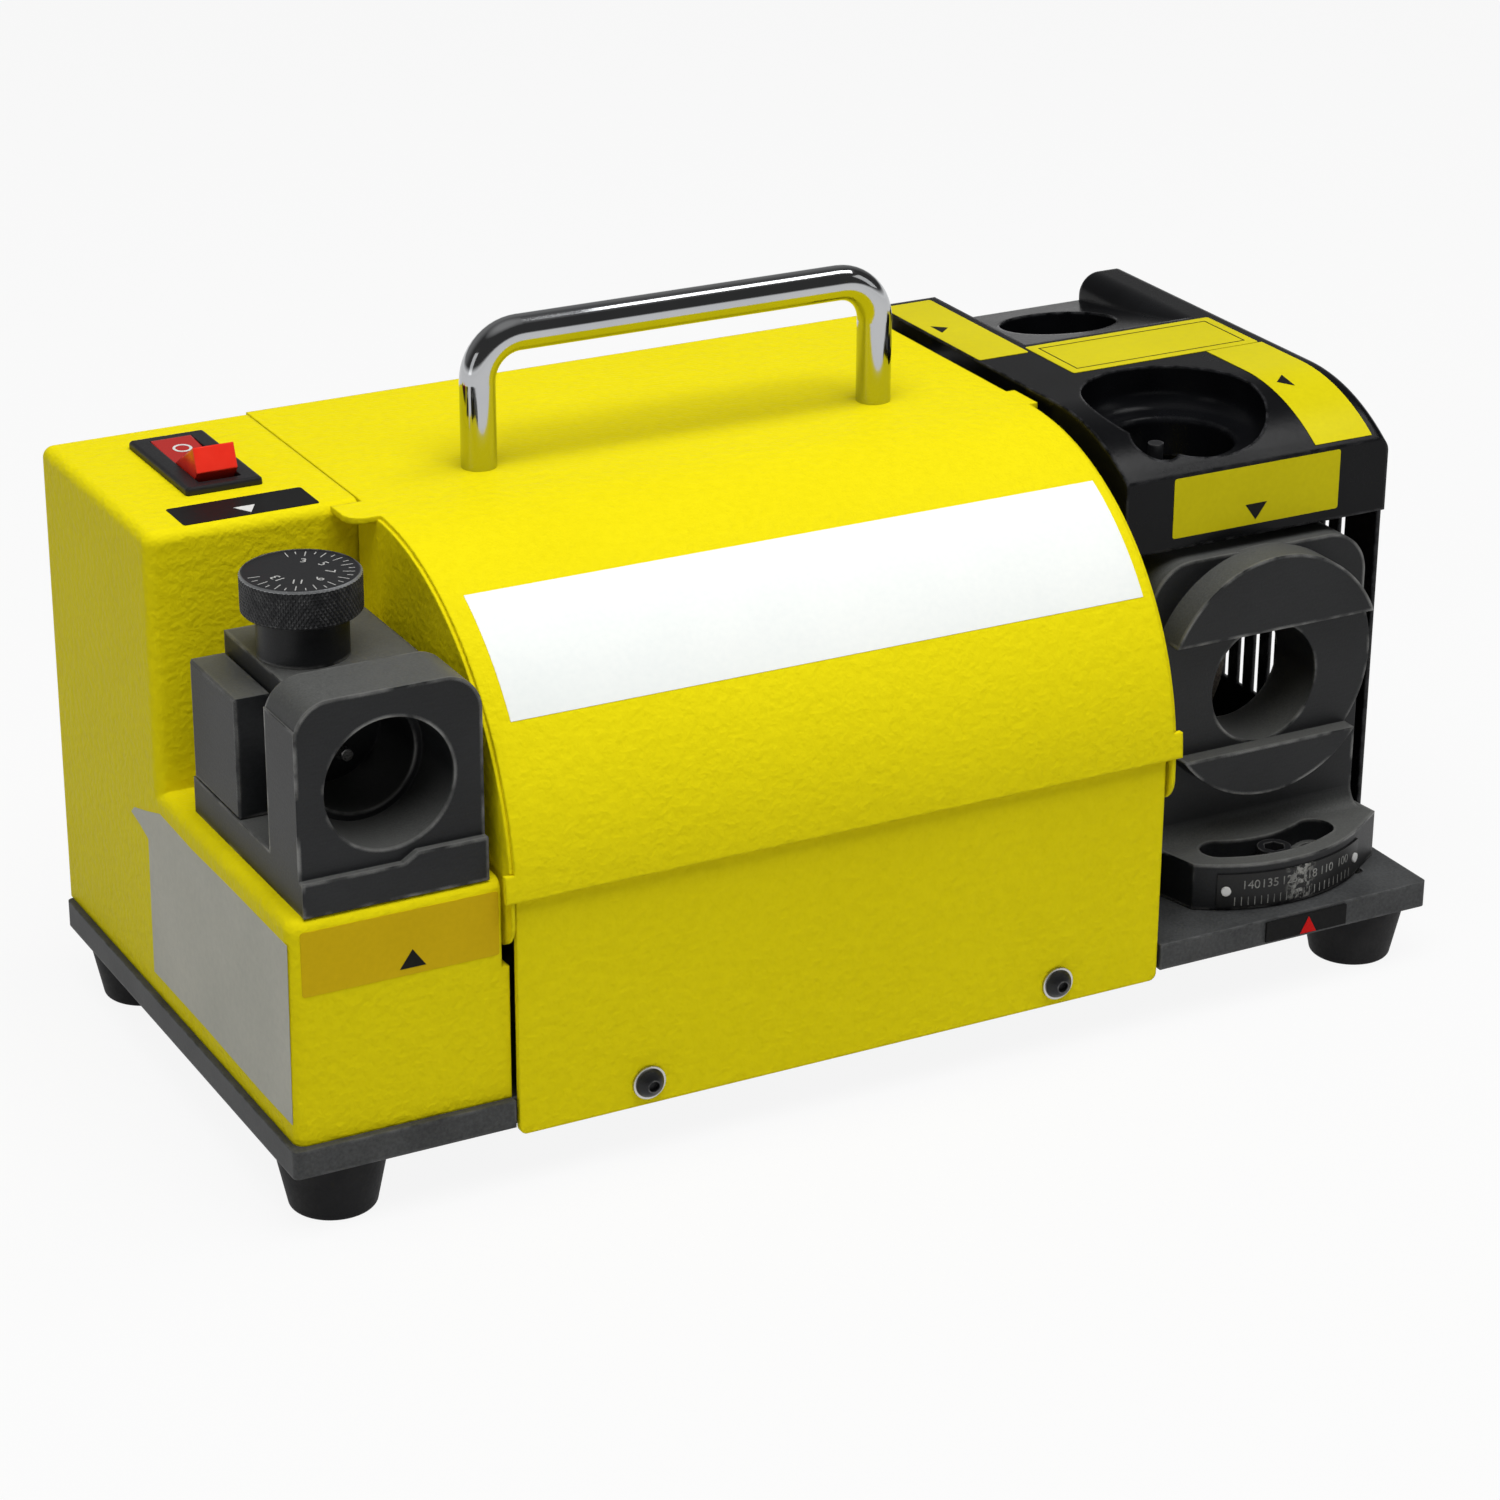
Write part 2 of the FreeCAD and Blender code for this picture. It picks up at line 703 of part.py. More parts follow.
def rear_panel():
    rear = hood_rear
    top = case_top - rear_flange_drop - 2.5
    wall = box(housing_right, head_left, rear - panel_sheet, rear, 0, top)
    foot_strip = box(housing_right, head_left, base_depth - 16, rear - panel_sheet, 0, panel_sheet)
    panel = joined([wall, foot_strip])
    for i in range(9):
        x = hood_left + 46 + 11 * i
        panel = panel.cut(box(x, x + 4, rear - 5, rear + 1, 34, 78))
    return panel


def storage_tray():
    t = tray_sheet
    x0 = panel_left + 4
    x1 = panel_right - 4
    front = panel_inner + 0.5
    rear = axis_y - can_r - tray_gap
    floor = tray_floor
    back = box(x0, x1, rear - t, rear, 0, floor + tray_back)
    sole = box(x0, x1, rear - t - tray_sole, rear - t, 0, t)
    plate = box(x0, x1, front, rear - t, floor, floor + t)
    lip = box(x0, x1, front, front + t, floor + t, panel_top)
    ends = [box(x, x + t, front + t, rear - t, floor + t, floor + tray_end) for x in (x0, x1 - t)]
    return joined([back, sole, plate, lip] + ends)


# Motor, fixed pieces
def motor_can():
    return tube_x(axis_y, axis_z, can_r, can_r - can_wall, can_left, can_right)


def motor_magnets():
    r = can_r - can_wall
    ring = tube_x(axis_y, axis_z, r, r - 4, can_left + 40, can_right - 25)
    gap = box(can_left, can_right, axis_y - 9, axis_y + 9, axis_z - 50, axis_z + 50)
    return ring.cut(gap)


def motor_bell(x0, x1, seat_x0):
    disc = rod_x(axis_y, axis_z, can_r - can_wall, x0, x1)
    disc = disc.cut(rod_x(axis_y, axis_z, shaft_r + 1.5, x0 - 1, x1 + 1))
    return disc.cut(rod_x(axis_y, axis_z, bearing_r, seat_x0, seat_x0 + bearing_width))


def bearing(x0):
    return tube_x(axis_y, axis_z, bearing_r, shaft_r + running_gap, x0, x0 + bearing_width)


def motor_cradle():
    near = axis_y - cradle_half
    far = axis_y + cradle_half
    posts = []
    for x in (cradle_left, cradle_right - cradle_width):
        post = box(x, x + cradle_width, near, far, 0, axis_z - cradle_drop)
        posts.append(post.cut(rod_x(axis_y, axis_z, can_r, x - 1, x + cradle_width + 1)))
    rail = box(cradle_left, cradle_right, near, far, 0, cradle_rail)
    return joined(posts + [rail])


def motor_straps():
    side = (cradle_width - strap_width) / 2
    r = can_r + strap_sheet
    straps = []
    for x in (cradle_left + side, cradle_right - side - strap_width):
        band = tube_x(axis_y, axis_z, r, can_r, x, x + strap_width)
        above = box(x, x + strap_width, axis_y - 2 * r, axis_y + 2 * r, axis_z - cradle_drop, axis_z + 2 * r)
        straps.append(band.common(above))
    return Part.makeCompound(straps)


def brush_places():
    return (-1, 1)


def carbon_brushes():
    brushes = []
    for side in brush_places():
        a = axis_y + side * (commutator_r + 0.3)
        b = axis_y + side * (can_r - can_wall - 5)
        brushes.append(box(brush_x - 4, brush_x + 4, min(a, b), max(a, b), axis_z - 3, axis_z + 3))
    return Part.makeCompound(brushes)


def brush_holders():
    holders = []
    for side in brush_places():
        a = axis_y + side * (commutator_r + 3)
        b = axis_y + side * (can_r - can_wall - 0.6)
        sleeve = box(brush_x - 6, brush_x + 6, min(a, b), max(a, b), axis_z - 5, axis_z + 5)
        c = axis_y + side * (can_r - can_wall - 5)
        core = box(brush_x - 4, brush_x + 4, min(a, c), max(a, c), axis_z - 3, axis_z + 3)
        spur = box(can_left + bell_depth, brush_x - 6, min(a, b), max(a, b), axis_z - 5, axis_z + 5)
        holders.append(joined([sleeve.cut(core), spur]))
    return Part.makeCompound(holders)


# Motor, turning pieces
def motor_shaft():
    return rod_x(axis_y, axis_z, shaft_r, can_left - 16, wheel_right + 14)


def sleeve_x(r, x0, x1):
    return tube_x(axis_y, axis_z, r, shaft_r, x0, x1)


def armature_core():
    r = can_r - can_wall - core_gap
    core = sleeve_x(r, core_left, core_right)
    for i in range(12):
        a = math.radians(30 * i)
        y = axis_y + (r - 0.8) * math.cos(a)
        z = axis_z + (r - 0.8) * math.sin(a)
        core = core.cut(rod_x(y, z, core_slot_r, can_left, can_right))
    return core


def coil_end(x0):
    ring = sleeve_x(coil_r, x0, x0 + coil_length)
    rims = [e for e in ring.Edges if e.BoundBox.YLength > coil_r and e.BoundBox.XLength < 0.01]
    return ring.makeFillet(coil_round, rims)


def armature_coils():
    return Part.makeCompound([coil_end(core_left - coil_length), coil_end(core_right)])


def commutator():
    return sleeve_x(commutator_r, brush_x - 7, brush_x + 9)


def cooling_fan():
    x0 = can_left - fan_length - 3
    hub = sleeve_x(fan_hub_r, x0, x0 + fan_length)
    blades = [hub]
    for i in range(8):
        blade = box(x0 + 1, x0 + fan_length - 1, axis_y - 0.8, axis_y + 0.8,
                    axis_z + fan_hub_r - 1, axis_z + fan_r)
        blade.rotate(V(x0, axis_y, axis_z), V(1, 0, 0), 45 * i)
        blades.append(blade)
    plate = sleeve_x(fan_r, x0 + fan_length - 1.5, x0 + fan_length)
    return joined(blades + [plate])


def wheel_hub():
    flange = sleeve_x(wheel_hub_r, wheel_left - 5, wheel_left)
    neck = sleeve_x(8, wheel_left - 13, wheel_left - 5)
    return joined([flange, neck])


def grinding_wheel():
    wheel = sleeve_x(wheel_r, wheel_left, wheel_right)
    rim = [e for e in wheel.Edges if e.BoundBox.YLength > wheel_r and not along(e, "x")]
    return wheel.makeChamfer(2.0, rim)


def wheel_nut():
    washer = sleeve_x(10, wheel_right, wheel_right + 1.6)
    corners = []
    for i in range(6):
        a = math.radians(60 * i)
        corners.append((axis_y + 7.5 * math.cos(a), axis_z + 7.5 * math.sin(a)))
    hexagon = prism_x(corners, wheel_right + 1.6, wheel_right + 8)
    hexagon = hexagon.cut(rod_x(axis_y, axis_z, shaft_r, wheel_right, wheel_right + 20))
    return joined([washer, hexagon])


# Grinding head: casting, ports, pin and end cover
def tilted(direction, centre, r, down, up):
    start = centre - direction * down
    return Part.makeCylinder(r, down + up, start, direction)


def front_port_axis():
    a = math.radians(front_port_tilt)
    return V(0, -math.sin(a), math.cos(a))


def front_port_centre():
    mouth = V(front_port_x, front_port_y, head_crown_z(front_port_y))
    return mouth - front_port_axis() * front_port_depth


def head_crown_z(y):
    r = head_radius
    reach = math.sqrt(r * r - (r - head_edge_drop) ** 2)
    back = max(0.0, head_front + reach - y)
    return head_top - r + math.sqrt(r * r - back * back)


def rear_port_axis():
    a = math.radians(recess_slope)
    return V(0, math.sin(a), math.cos(a))


def rear_port_centre():
    drop = (rear_port_y - recess_front) * math.tan(math.radians(recess_slope))
    return V(rear_port_x, rear_port_y, head_top - 0.8 - drop)


def head_region(inset, x0, x1):
    front = head_front + inset
    rear = housing_rear - inset
    top = head_top - inset
    edge = head_edge_z - inset
    r = head_radius - inset
    flat_y = front + math.sqrt(r * r - (r - (top - edge)) ** 2)
    mid_y = (front + flat_y) / 2
    mid_z = top - r + math.sqrt(r * r - (flat_y - mid_y) ** 2)
    arc = Part.Arc(V(x0, front, edge), V(x0, mid_y, mid_z), V(x0, flat_y, top)).toShape()
    pts = [V(x0, flat_y, top), V(x0, rear, top), V(x0, rear, 0), V(x0, front, 0), V(x0, front, edge)]
    edges = [arc] + [Part.makeLine(a, b) for a, b in zip(pts, pts[1:])]
    face = Part.Face(Part.Wire(Part.__sortEdges__(edges)))
    return face.extrude(V(x1 - x0, 0, 0))


def head_casting():
    body = head_region(0, head_left, head_right)
    body = rounded(body, ridge_r, lambda e: lies(e, x=head_right) and e.BoundBox.ZMin > head_edge_z - 0.1)
    room = box(head_left + head_wall, head_right + 1, head_front + head_wall, housing_rear - head_wall,
               -1, ceiling)
    body = body.cut(room)
    inner = head_left + head_wall
    body = body.cut(box(inner, head_right + 1, head_front - 1, head_front + 6, -1, apron_bottom))
    body = body.cut(box(head_left - 1, inner + 1, head_front - 1, seat_pivot_y, -1, apron_bottom))
    a = math.tan(math.radians(recess_slope))
    far = housing_rear + 5
    z0 = head_top - 0.8
    side = [(recess_front, z0), (far, z0 - (far - recess_front) * a), (far, head_top + 5),
            (recess_front, head_top + 5)]
    body = body.cut(prism_x(side, recess_left, recess_right))
    r = bead_r
    bead = prism_x(side, recess_right - 1, recess_right + r)
    bead = bead.common(box(recess_right - 1, recess_right + r, recess_front, far, head_top - r, head_top + 5))
    body = body.cut(bead.cut(rod_y(recess_right + r, head_top - r, r, recess_front - 1, far + 1)))
    front = front_port_centre()
    axis = front_port_axis()
    bowl = tilted(axis, front, front_port_rim_r, 0, 40)
    bowl = rounded(bowl, front_port_bowl_r, lambda e: (e.CenterOfMass - front).Length < 0.1)
    port = joined([bowl, tilted(axis, front, chuck_r, 40, 5)])
    body = body.cut(rounded(port, front_port_lip_r, lambda e: (e.CenterOfMass - front).Length < 0.1
                            and abs(e.Length - 2 * math.pi * chuck_r) < 0.1))
    notch = front + port_corner() * port_notch_reach + axis * port_notch_rise
    body = body.cut(tilted(axis, notch, port_notch_r, 0, 40))
    body = body.cut(tilted(axis, front - axis * front_port_length, chuck_r + 2.5, 30, 0))
    axis = rear_port_axis()
    rear = rear_port_centre()
    body = body.cut(tilted(axis, rear, chuck_r, 40, 20))
    body = body.cut(tilted(axis, rear - axis * rear_port_length, chuck_r + 2.5, 30, 0))
    body = body.cut(rod_x(axis_y, axis_z, shaft_r + 3, head_left - 1, head_left + head_wall + 1))
    body = body.cut(rod_x(hinge_y, hinge_z, hinge_pin_r, head_left - 1, head_left + 12))
    body = body.cut(rod_x(hinge_y, hinge_z, hinge_head_r, head_left + head_wall, head_left + 12))
    boss = box(head_right - 12, head_right, housing_rear - 12, housing_rear - head_wall, 0, 16)
    body = joined([body, boss])
    for y, z in cover_screw_places():
        body = body.cut(rod_x(y, z, 1.7, head_right - 9, head_right + 1))
    return body


def port_corner():
    axis = front_port_axis()
    ahead = V(0, -axis.z, axis.y)
    return (V(-1, 0, 0) + ahead) * math.sqrt(0.5)


def port_pins():
    axis = front_port_axis()
    place = front_port_centre() + port_corner() * port_pin_reach + axis * port_notch_rise
    return tilted(axis, place, port_pin_r, 0, port_pin_height)


def cover_screw_places():
    return [(head_front + 12, head_edge_z - 6), (housing_rear - 12, ceiling + 8), (housing_rear - 7.5, 8)]


def end_cover():
    plate = head_region(3.0, head_right, cover_right)
    plate = plate.common(box(head_right, cover_right, 0, 300, 0.0, 300))
    for i in range(vent_count):
        y = vent_first + vent_pitch * i
        half = vent_width / 2
        plate = plate.cut(box(head_right - 1, cover_right + 1, y - half, y + half, vent_bottom, vent_top))
    for y, z in cover_screw_places():
        plate = plate.cut(rod_x(y, z, 1.7, head_right - 1, cover_right + 1))
    return plate


def cover_screws():
    screws = []
    for y, z in cover_screw_places():
        head = rod_x(y, z, 3.2, cover_right, cover_right + 1.8)
        screws.append(joined([head, rod_x(y, z, 1.7, head_right - 8, cover_right)]))
    return Part.makeCompound(screws)


# Swivelling seat
def polar(r, degrees):
    a = math.radians(degrees)
    return (seat_x + r * math.sin(a), seat_pivot_y - r * math.cos(a))


def sector(r_in, r_out, left, right, z0, z1):
    middle = (right - left) / 2
    a = [V(*polar(r_out, d), z0) for d in (-left, middle, right)]
    b = [V(*polar(r_in, d), z0) for d in (right, middle, -left)]
    edges = [Part.Arc(*a).toShape(), Part.makeLine(a[2], b[0]), Part.Arc(*b).toShape(),
             Part.makeLine(b[2], a[0])]
    return Part.Face(Part.Wire(edges)).extrude(V(0, 0, z1 - z0))


def slot(half_width, z0, z1):
    ring = sector(slot_r - half_width, slot_r + half_width, slot_half_angle, slot_half_angle, z0, z1)
    ends = [rod_z(*polar(slot_r, d), half_width, z0, z1) for d in (-slot_half_angle, slot_half_angle)]
    return joined([ring] + ends)


def seat_base():
    z0 = sliding_gap
    z1 = sliding_gap + seat_thickness
    ax, ay = polar(seat_arc_r, -seat_arc_left)
    bx, by = polar(seat_arc_r, seat_arc_right)
    cx, cy = polar(seat_arc_r, (seat_arc_right - seat_arc_left) / 2)
    back = seat_front + seat_depth
    left = V(seat_x - seat_half, back, z0)
    right = V(seat_x + seat_half, back, z0)
    a = V(ax, ay, z0)
    b = V(bx, by, z0)
    turn = math.radians(seat_arc_right)
    corner = V(seat_x + seat_corner_reach, by + (seat_x + seat_corner_reach - bx) * math.tan(turn), z0)
    ring = [b, corner, right, left, a]
    edges = [Part.Arc(a, V(cx, cy, z0), b).toShape()] + [Part.makeLine(m, n) for m, n in zip(ring, ring[1:])]
    plate = Part.Face(Part.Wire(edges)).extrude(V(0, 0, z1 - z0))
    tab = rod_z(seat_x, seat_pivot_y, 12, z0, z1)
    neck = box(seat_x - 12, seat_x + 12, back - 2, seat_pivot_y, z0, z1)
    return joined([plate, tab, neck])


def seat_casting():
    z1 = sliding_gap + seat_thickness
    upright = box(seat_x - seat_half, seat_x + seat_half, seat_front, seat_front + seat_depth,
                  sliding_gap, seat_top)
    upright = rounded(upright, seat_corner_r, lambda e: along(e, "y") and lies(e, z=seat_top))
    disc = rod_y(seat_x, seat_bore_z + disc_rise, disc_r, seat_front - disc_proud, seat_front + 1)
    band = box(seat_x - 50, seat_x + 50, seat_front - disc_proud - 1, seat_front - band_proud,
               seat_bore_z - band_half, seat_bore_z + band_half)
    fillet = box(seat_x - seat_half, seat_x + seat_half, seat_front - 5, seat_front, z1, z1 + 5)
    fillet = fillet.cut(rod_x(seat_front - 5, z1 + 5, 5, seat_x - 50, seat_x + 50))
    whole = joined([seat_base(), upright, disc.cut(band), fillet])
    whole = whole.cut(rod_y(seat_x, seat_bore_z, chuck_r, seat_front - 20, seat_front + 30))
    whole = whole.cut(slot(clamp_shank_r + 0.4, -1, z1 + 1))
    whole = whole.cut(slot(slot_half_width, z1 - 6.0, z1 + 1))
    return whole.cut(rod_z(seat_x, seat_pivot_y, swivel_pin_r + running_gap, -1, z1 + 1))


def scale_strip():
    strip = sector(seat_arc_r, seat_arc_r + 0.5, strip_left, strip_right, 1.2, 1.2 + strip_height)
    for x, y, d in rivet_places():
        strip = strip.cut(Part.makeCylinder(0.9, 3, V(x, y, 1.2 + strip_height / 2) - d, d))
    return strip


def rivet_places():
    places = []
    for degrees in (rivet_edge - strip_left, strip_right - rivet_edge):
        x, y = polar(seat_arc_r, degrees)
        a = math.radians(degrees)
        places.append((x, y, V(math.sin(a), -math.cos(a), 0)))
    return places


def scale_rivets():
    rivets = []
    for x, y, d in rivet_places():
        start = V(x, y, 1.2 + strip_height / 2)
        shank = Part.makeCylinder(0.9, 0.4, start + d * 0.1, d)
        head = Part.makeCylinder(1.3, 0.5, start + d * 0.5, d)
        rivets.append(joined([shank, head]))
    return Part.makeCompound(rivets)


def swivel_pin():
    top = seat_thickness + 2 * sliding_gap
    shank = rod_z(seat_x, seat_pivot_y, swivel_pin_r, -base_thickness, top)
    return joined([shank, rod_z(seat_x, seat_pivot_y, swivel_pin_r + 3, top, top + 2.5)])


def clamp_screw():
    x, y = polar(slot_r, 0)
    under = sliding_gap + seat_thickness - 6.0 + 0.1
    head = rod_z(x, y, clamp_head_r, under, under + 5)
    corners = []
    for i in range(6):
        a = math.radians(60 * i)
        corners.append((x + 2.9 * math.cos(a), y + 2.9 * math.sin(a)))
    head = head.cut(prism_z(corners, under + 2, under + 6))
    return joined([head, rod_z(x, y, clamp_shank_r, -base_thickness + 0.5, under)])


def pointer_plate():
    return box(seat_x - 12.5, seat_x + 12.5, -0.6, 0, -base_thickness + 0.8, -0.7)


lug_left = hood_left + 0.6
lug_right = hood_right - 0.6
nodes = {
    "base_plate": base_plate(),
    "foot_front_left": foot(*foot_places()[0]),
    "foot_front_right": foot(*foot_places()[1]),
    "foot_rear_left": foot(*foot_places()[2]),
    "foot_rear_right": foot(*foot_places()[3]),
    "foot_screws": foot_screws(),
    "left_housing": left_housing(),
    "cord_gland": cord_gland(),
    "terminal_block": terminal_block(),
    "gauge_block": gauge_block(),
    "gauge_pins": gauge_pins(),
    "gauge_screws": gauge_screws(),
    "dial_bush": dial_bush(),
    "gauge_dial": gauge_dial(),
    "gauge_jaw": gauge_jaw(),
    "switch_bezel": switch_bezel(),
    "switch_rocker": switch_rocker(),
    "hood_skin": hood_skin(),
    "hood_flank_left": hood_flank(True),
    "hood_flank_right": hood_flank(False),
    "hood_lug_left": hood_lug(lug_left, lug_left + 2.0),
    "hood_lug_right": hood_lug(lug_right - 2.0, lug_right),
    "hinge_pin_left": hinge_pin(True),
    "hinge_pin_right": hinge_pin(False),
    "handle": handle(),
    "handle_screws": handle_screws(),
    "lower_panel": lower_panel(),
    "panel_washers": panel_washers(),
    "panel_screws": panel_screws(),
    "rear_panel": rear_panel(),
    "storage_tray": storage_tray(),
    "motor_can": motor_can(),
    "motor_magnets": motor_magnets(),
    "motor_bell_left": motor_bell(can_left, can_left + bell_depth, can_left),
    "motor_bell_right": motor_bell(can_right - bell_depth, can_right, can_right - bearing_width),
    "bearing_left": bearing(can_left),
    "bearing_right": bearing(can_right - bearing_width),
    "motor_cradle": motor_cradle(),
    "motor_straps": motor_straps(),
    "brush_holders": brush_holders(),
    "carbon_brushes": carbon_brushes(),
    "motor_shaft": motor_shaft(),
    "armature_core": armature_core(),
    "armature_coils": armature_coils(),
    "commutator": commutator(),
    "cooling_fan": cooling_fan(),
    "wheel_hub": wheel_hub(),
    "grinding_wheel": grinding_wheel(),
    "wheel_nut": wheel_nut(),
    "head_casting": head_casting(),
    "port_pins": port_pins(),
    "end_cover": end_cover(),
    "cover_screws": cover_screws(),
    "seat_casting": seat_casting(),
    "scale_strip": scale_strip(),
    "scale_rivets": scale_rivets(),
    "swivel_pin": swivel_pin(),
    "clamp_screw": clamp_screw(),
    "pointer_plate": pointer_plate(),
}
for name, shape in nodes.items():
    save(name, shape)
    print(name, len(shape.Solids), round(shape.Volume, 1), shape.isValid())
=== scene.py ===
import bpy
import bmesh
import math
from mathutils import Matrix, Vector


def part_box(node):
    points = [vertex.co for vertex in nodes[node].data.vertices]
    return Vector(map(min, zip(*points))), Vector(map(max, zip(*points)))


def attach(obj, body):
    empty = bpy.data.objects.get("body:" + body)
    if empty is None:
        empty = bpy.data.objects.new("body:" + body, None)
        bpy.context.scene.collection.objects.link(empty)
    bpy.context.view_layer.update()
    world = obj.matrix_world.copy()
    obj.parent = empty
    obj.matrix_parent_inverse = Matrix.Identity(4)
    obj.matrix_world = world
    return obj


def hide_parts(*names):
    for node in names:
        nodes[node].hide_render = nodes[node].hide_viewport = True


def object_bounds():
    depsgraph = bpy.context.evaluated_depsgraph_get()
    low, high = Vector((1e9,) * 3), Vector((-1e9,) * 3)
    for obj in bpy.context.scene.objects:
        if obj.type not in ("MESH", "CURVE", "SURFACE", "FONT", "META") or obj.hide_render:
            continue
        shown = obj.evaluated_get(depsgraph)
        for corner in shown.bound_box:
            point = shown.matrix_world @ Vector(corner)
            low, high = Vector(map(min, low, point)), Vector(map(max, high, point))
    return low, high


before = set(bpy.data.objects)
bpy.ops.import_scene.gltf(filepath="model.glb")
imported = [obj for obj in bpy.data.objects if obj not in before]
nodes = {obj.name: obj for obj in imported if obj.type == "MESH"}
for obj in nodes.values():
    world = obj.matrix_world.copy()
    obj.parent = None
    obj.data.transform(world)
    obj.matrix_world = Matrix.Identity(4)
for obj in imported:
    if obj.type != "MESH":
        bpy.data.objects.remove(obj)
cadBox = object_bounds()
scene = bpy.context.scene
xAxis, yAxis, zAxis = Vector((1, 0, 0)), Vector((0, 1, 0)), Vector((0, 0, 1))
print("frame loaded,", len(nodes), "nodes")


# machine millimetres: x from the left end of the base, y from its front edge, z from its top
baseLow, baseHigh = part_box("base_plate")
origin = Vector((baseLow.x, baseLow.y, baseHigh.z))


def at(x, y, z):
    return origin + Vector((x, y, z)) / 1000


def mm(value):
    return value / 1000


# camera first, at the angle of the photo
cameraSpec = {
    "spot": (-309.0, -796.1, 468.35),
    "along": (0.43391, 0.80883, -0.39689),
    "rollDeg": 0.33,
    "lens": 100.8,
}


def addCamera(spec):
    data = bpy.data.cameras.new("camera")
    data.lens = spec["lens"]
    data.sensor_width = 36
    data.clip_start = 0.01
    data.clip_end = 50
    camera = bpy.data.objects.new("camera", data)
    turn = Vector(spec["along"]).to_track_quat("-Z", "Y").to_matrix().to_4x4()
    roll = Matrix.Rotation(math.radians(spec["rollDeg"]), 4, "Z")
    camera.matrix_world = Matrix.Translation(at(*spec["spot"])) @ turn @ roll
    scene.collection.objects.link(camera)
    scene.camera = camera


addCamera(cameraSpec)
scene.view_settings.view_transform = "Standard"


# shader maths: a wire is a socket, and sums of wires add Math nodes
class Wire:
    def __init__(self, tree, socket=None):
        self.tree = tree
        self.socket = socket

    def node(self, kind, settings=None, values=None, out=0):
        made = self.tree.nodes.new("ShaderNode" + kind)
        for key, value in (settings or {}).items():
            if key == "stops":
                ramp = made.color_ramp
                while len(ramp.elements) < len(value):
                    ramp.elements.new(0.5)
                for stop, (place, shade) in zip(ramp.elements, value):
                    stop.position = place
                    stop.color = (shade, shade, shade, 1)
            else:
                setattr(made, key, value)
        for key, value in (values or {}).items():
            if isinstance(value, Wire):
                self.tree.links.new(value.socket, made.inputs[key])
            else:
                made.inputs[key].default_value = value
        return Wire(self.tree, made.outputs[out])

    def math(self, operation, a, b):
        return self.node("Math", {"operation": operation}, {0: a, 1: b})

    def __add__(self, other):
        return self.math("ADD", self, other)

    __radd__ = __add__

    def __sub__(self, other):
        return self.math("SUBTRACT", self, other)

    def __rsub__(self, other):
        return self.math("SUBTRACT", other, self)

    def __mul__(self, other):
        return self.math("MULTIPLY", self, other)

    __rmul__ = __mul__

    def atMost(self, other):
        return self.math("MINIMUM", self, other)

    def atLeast(self, other):
        return self.math("MAXIMUM", self, other)

    # patterns on object coordinates, in metres
    def spots(self, perMetre, detail=2.0, stretch=None):
        place = self.node("TexCoord", out="Object")
        if stretch:
            place = place.node("Mapping", None, {"Vector": place, "Scale": stretch})
        values = {"Vector": place, "Scale": perMetre, "Detail": detail}
        return self.node("TexNoise", None, values, "Fac")

    def ramp(self, low, high):
        return self.node("ValToRGB", {"stops": [(low, 0), (high, 1)]}, {"Fac": self})

    def over(self, colour, light):
        values = {"Factor": self, 6: colour, 7: (*light, 1)}
        return self.node("Mix", {"data_type": "RGBA"}, values, 2)

    def tint(self, dark, light):
        return self.over((*dark, 1), light)

    def rounded(self, radius):
        return self.node("Bevel", {"samples": 6}, {"Radius": radius})

    def edges(self, radius, gain):  # outer edges only: the solid is thin just behind them
        settings = {"inside": True, "only_local": True, "samples": 6}
        behind = self.node("AmbientOcclusion", settings, {"Distance": radius}, "AO")
        return ((1 - behind) * gain).atMost(1.0)

    def upward(self):  # how far a face looks up, for dust that settles with a painted highlight on steel tops, and for painted shade on the rocker's top
        normal = self.node("TexCoord", out="Normal")
        return self.node("SeparateXYZ", None, {0: normal}, 2).atLeast(0.0)

    def bumps(self, height, strength, depth, normal):
        values = {"Height": height, "Strength": strength, "Distance": depth, "Normal": normal}
        return self.node("Bump", None, values)


finishes = {}


def addFinish(name, paint, **fixed):
    material = bpy.data.materials.new(name)
    material.use_nodes = True
    shader = material.node_tree.nodes["Principled BSDF"]
    for key, value in fixed.items():
        shader.inputs[key.replace("_", " ")].default_value = value
    for key, wire in paint(Wire(material.node_tree)).items():
        material.node_tree.links.new(wire.socket, shader.inputs[key])
    finishes[name] = material
    return material


# powder coat with its orange peel
coatLook = {
    "deep": (0.775, 0.66, 0.0045),
    "bright": (0.84, 0.72, 0.006),
    "peelPerMetre": 430,
    "finePerMetre": 1200,
    "peelDepth": 0.0006,
    "edge": 0.0009,
}


def yellowCoat(w):
    peel = w.spots(coatLook["peelPerMetre"], 1.0) * 0.7 + w.spots(coatLook["finePerMetre"], 1.0) * 0.3
    # the colour follows the orange peel too: a random tone, with painted shade and highlight of the peel
    # bumps
    tone = w.spots(16, 3.0) * 0.4 + peel * 0.6
    return {
        "Base Color": tone.ramp(0.3, 0.7).tint(coatLook["deep"], coatLook["bright"]),
        "Roughness": 0.34 + peel * 0.16,
        "Normal": w.bumps(peel, 0.8, coatLook["peelDepth"], w.rounded(coatLook["edge"])),
    }


addFinish("yellowCoat", yellowCoat, Specular_IOR_Level=0.02)


# gloss black of the grinding head
headLook = {"deep": (0.002, 0.0021, 0.0026), "bright": (0.005, 0.0053, 0.0062), "worn": (0.08, 0.08, 0.085)}


def headBlack(w):
    grain = w.spots(900, 2.0)
    tone = w.spots(40, 4.0).ramp(0.35, 0.7)
    edge = (w.edges(0.0009, 2.0) * w.spots(300, 3.0).ramp(0.4, 0.65)) * 0.6
    return {
        "Base Color": edge.over(tone.tint(headLook["deep"], headLook["bright"]), headLook["worn"]),
        "Roughness": 0.14 + tone * 0.1 + grain * 0.08,
        "Normal": w.bumps(grain, 0.25, 0.00008, w.rounded(0.0012)),
    }


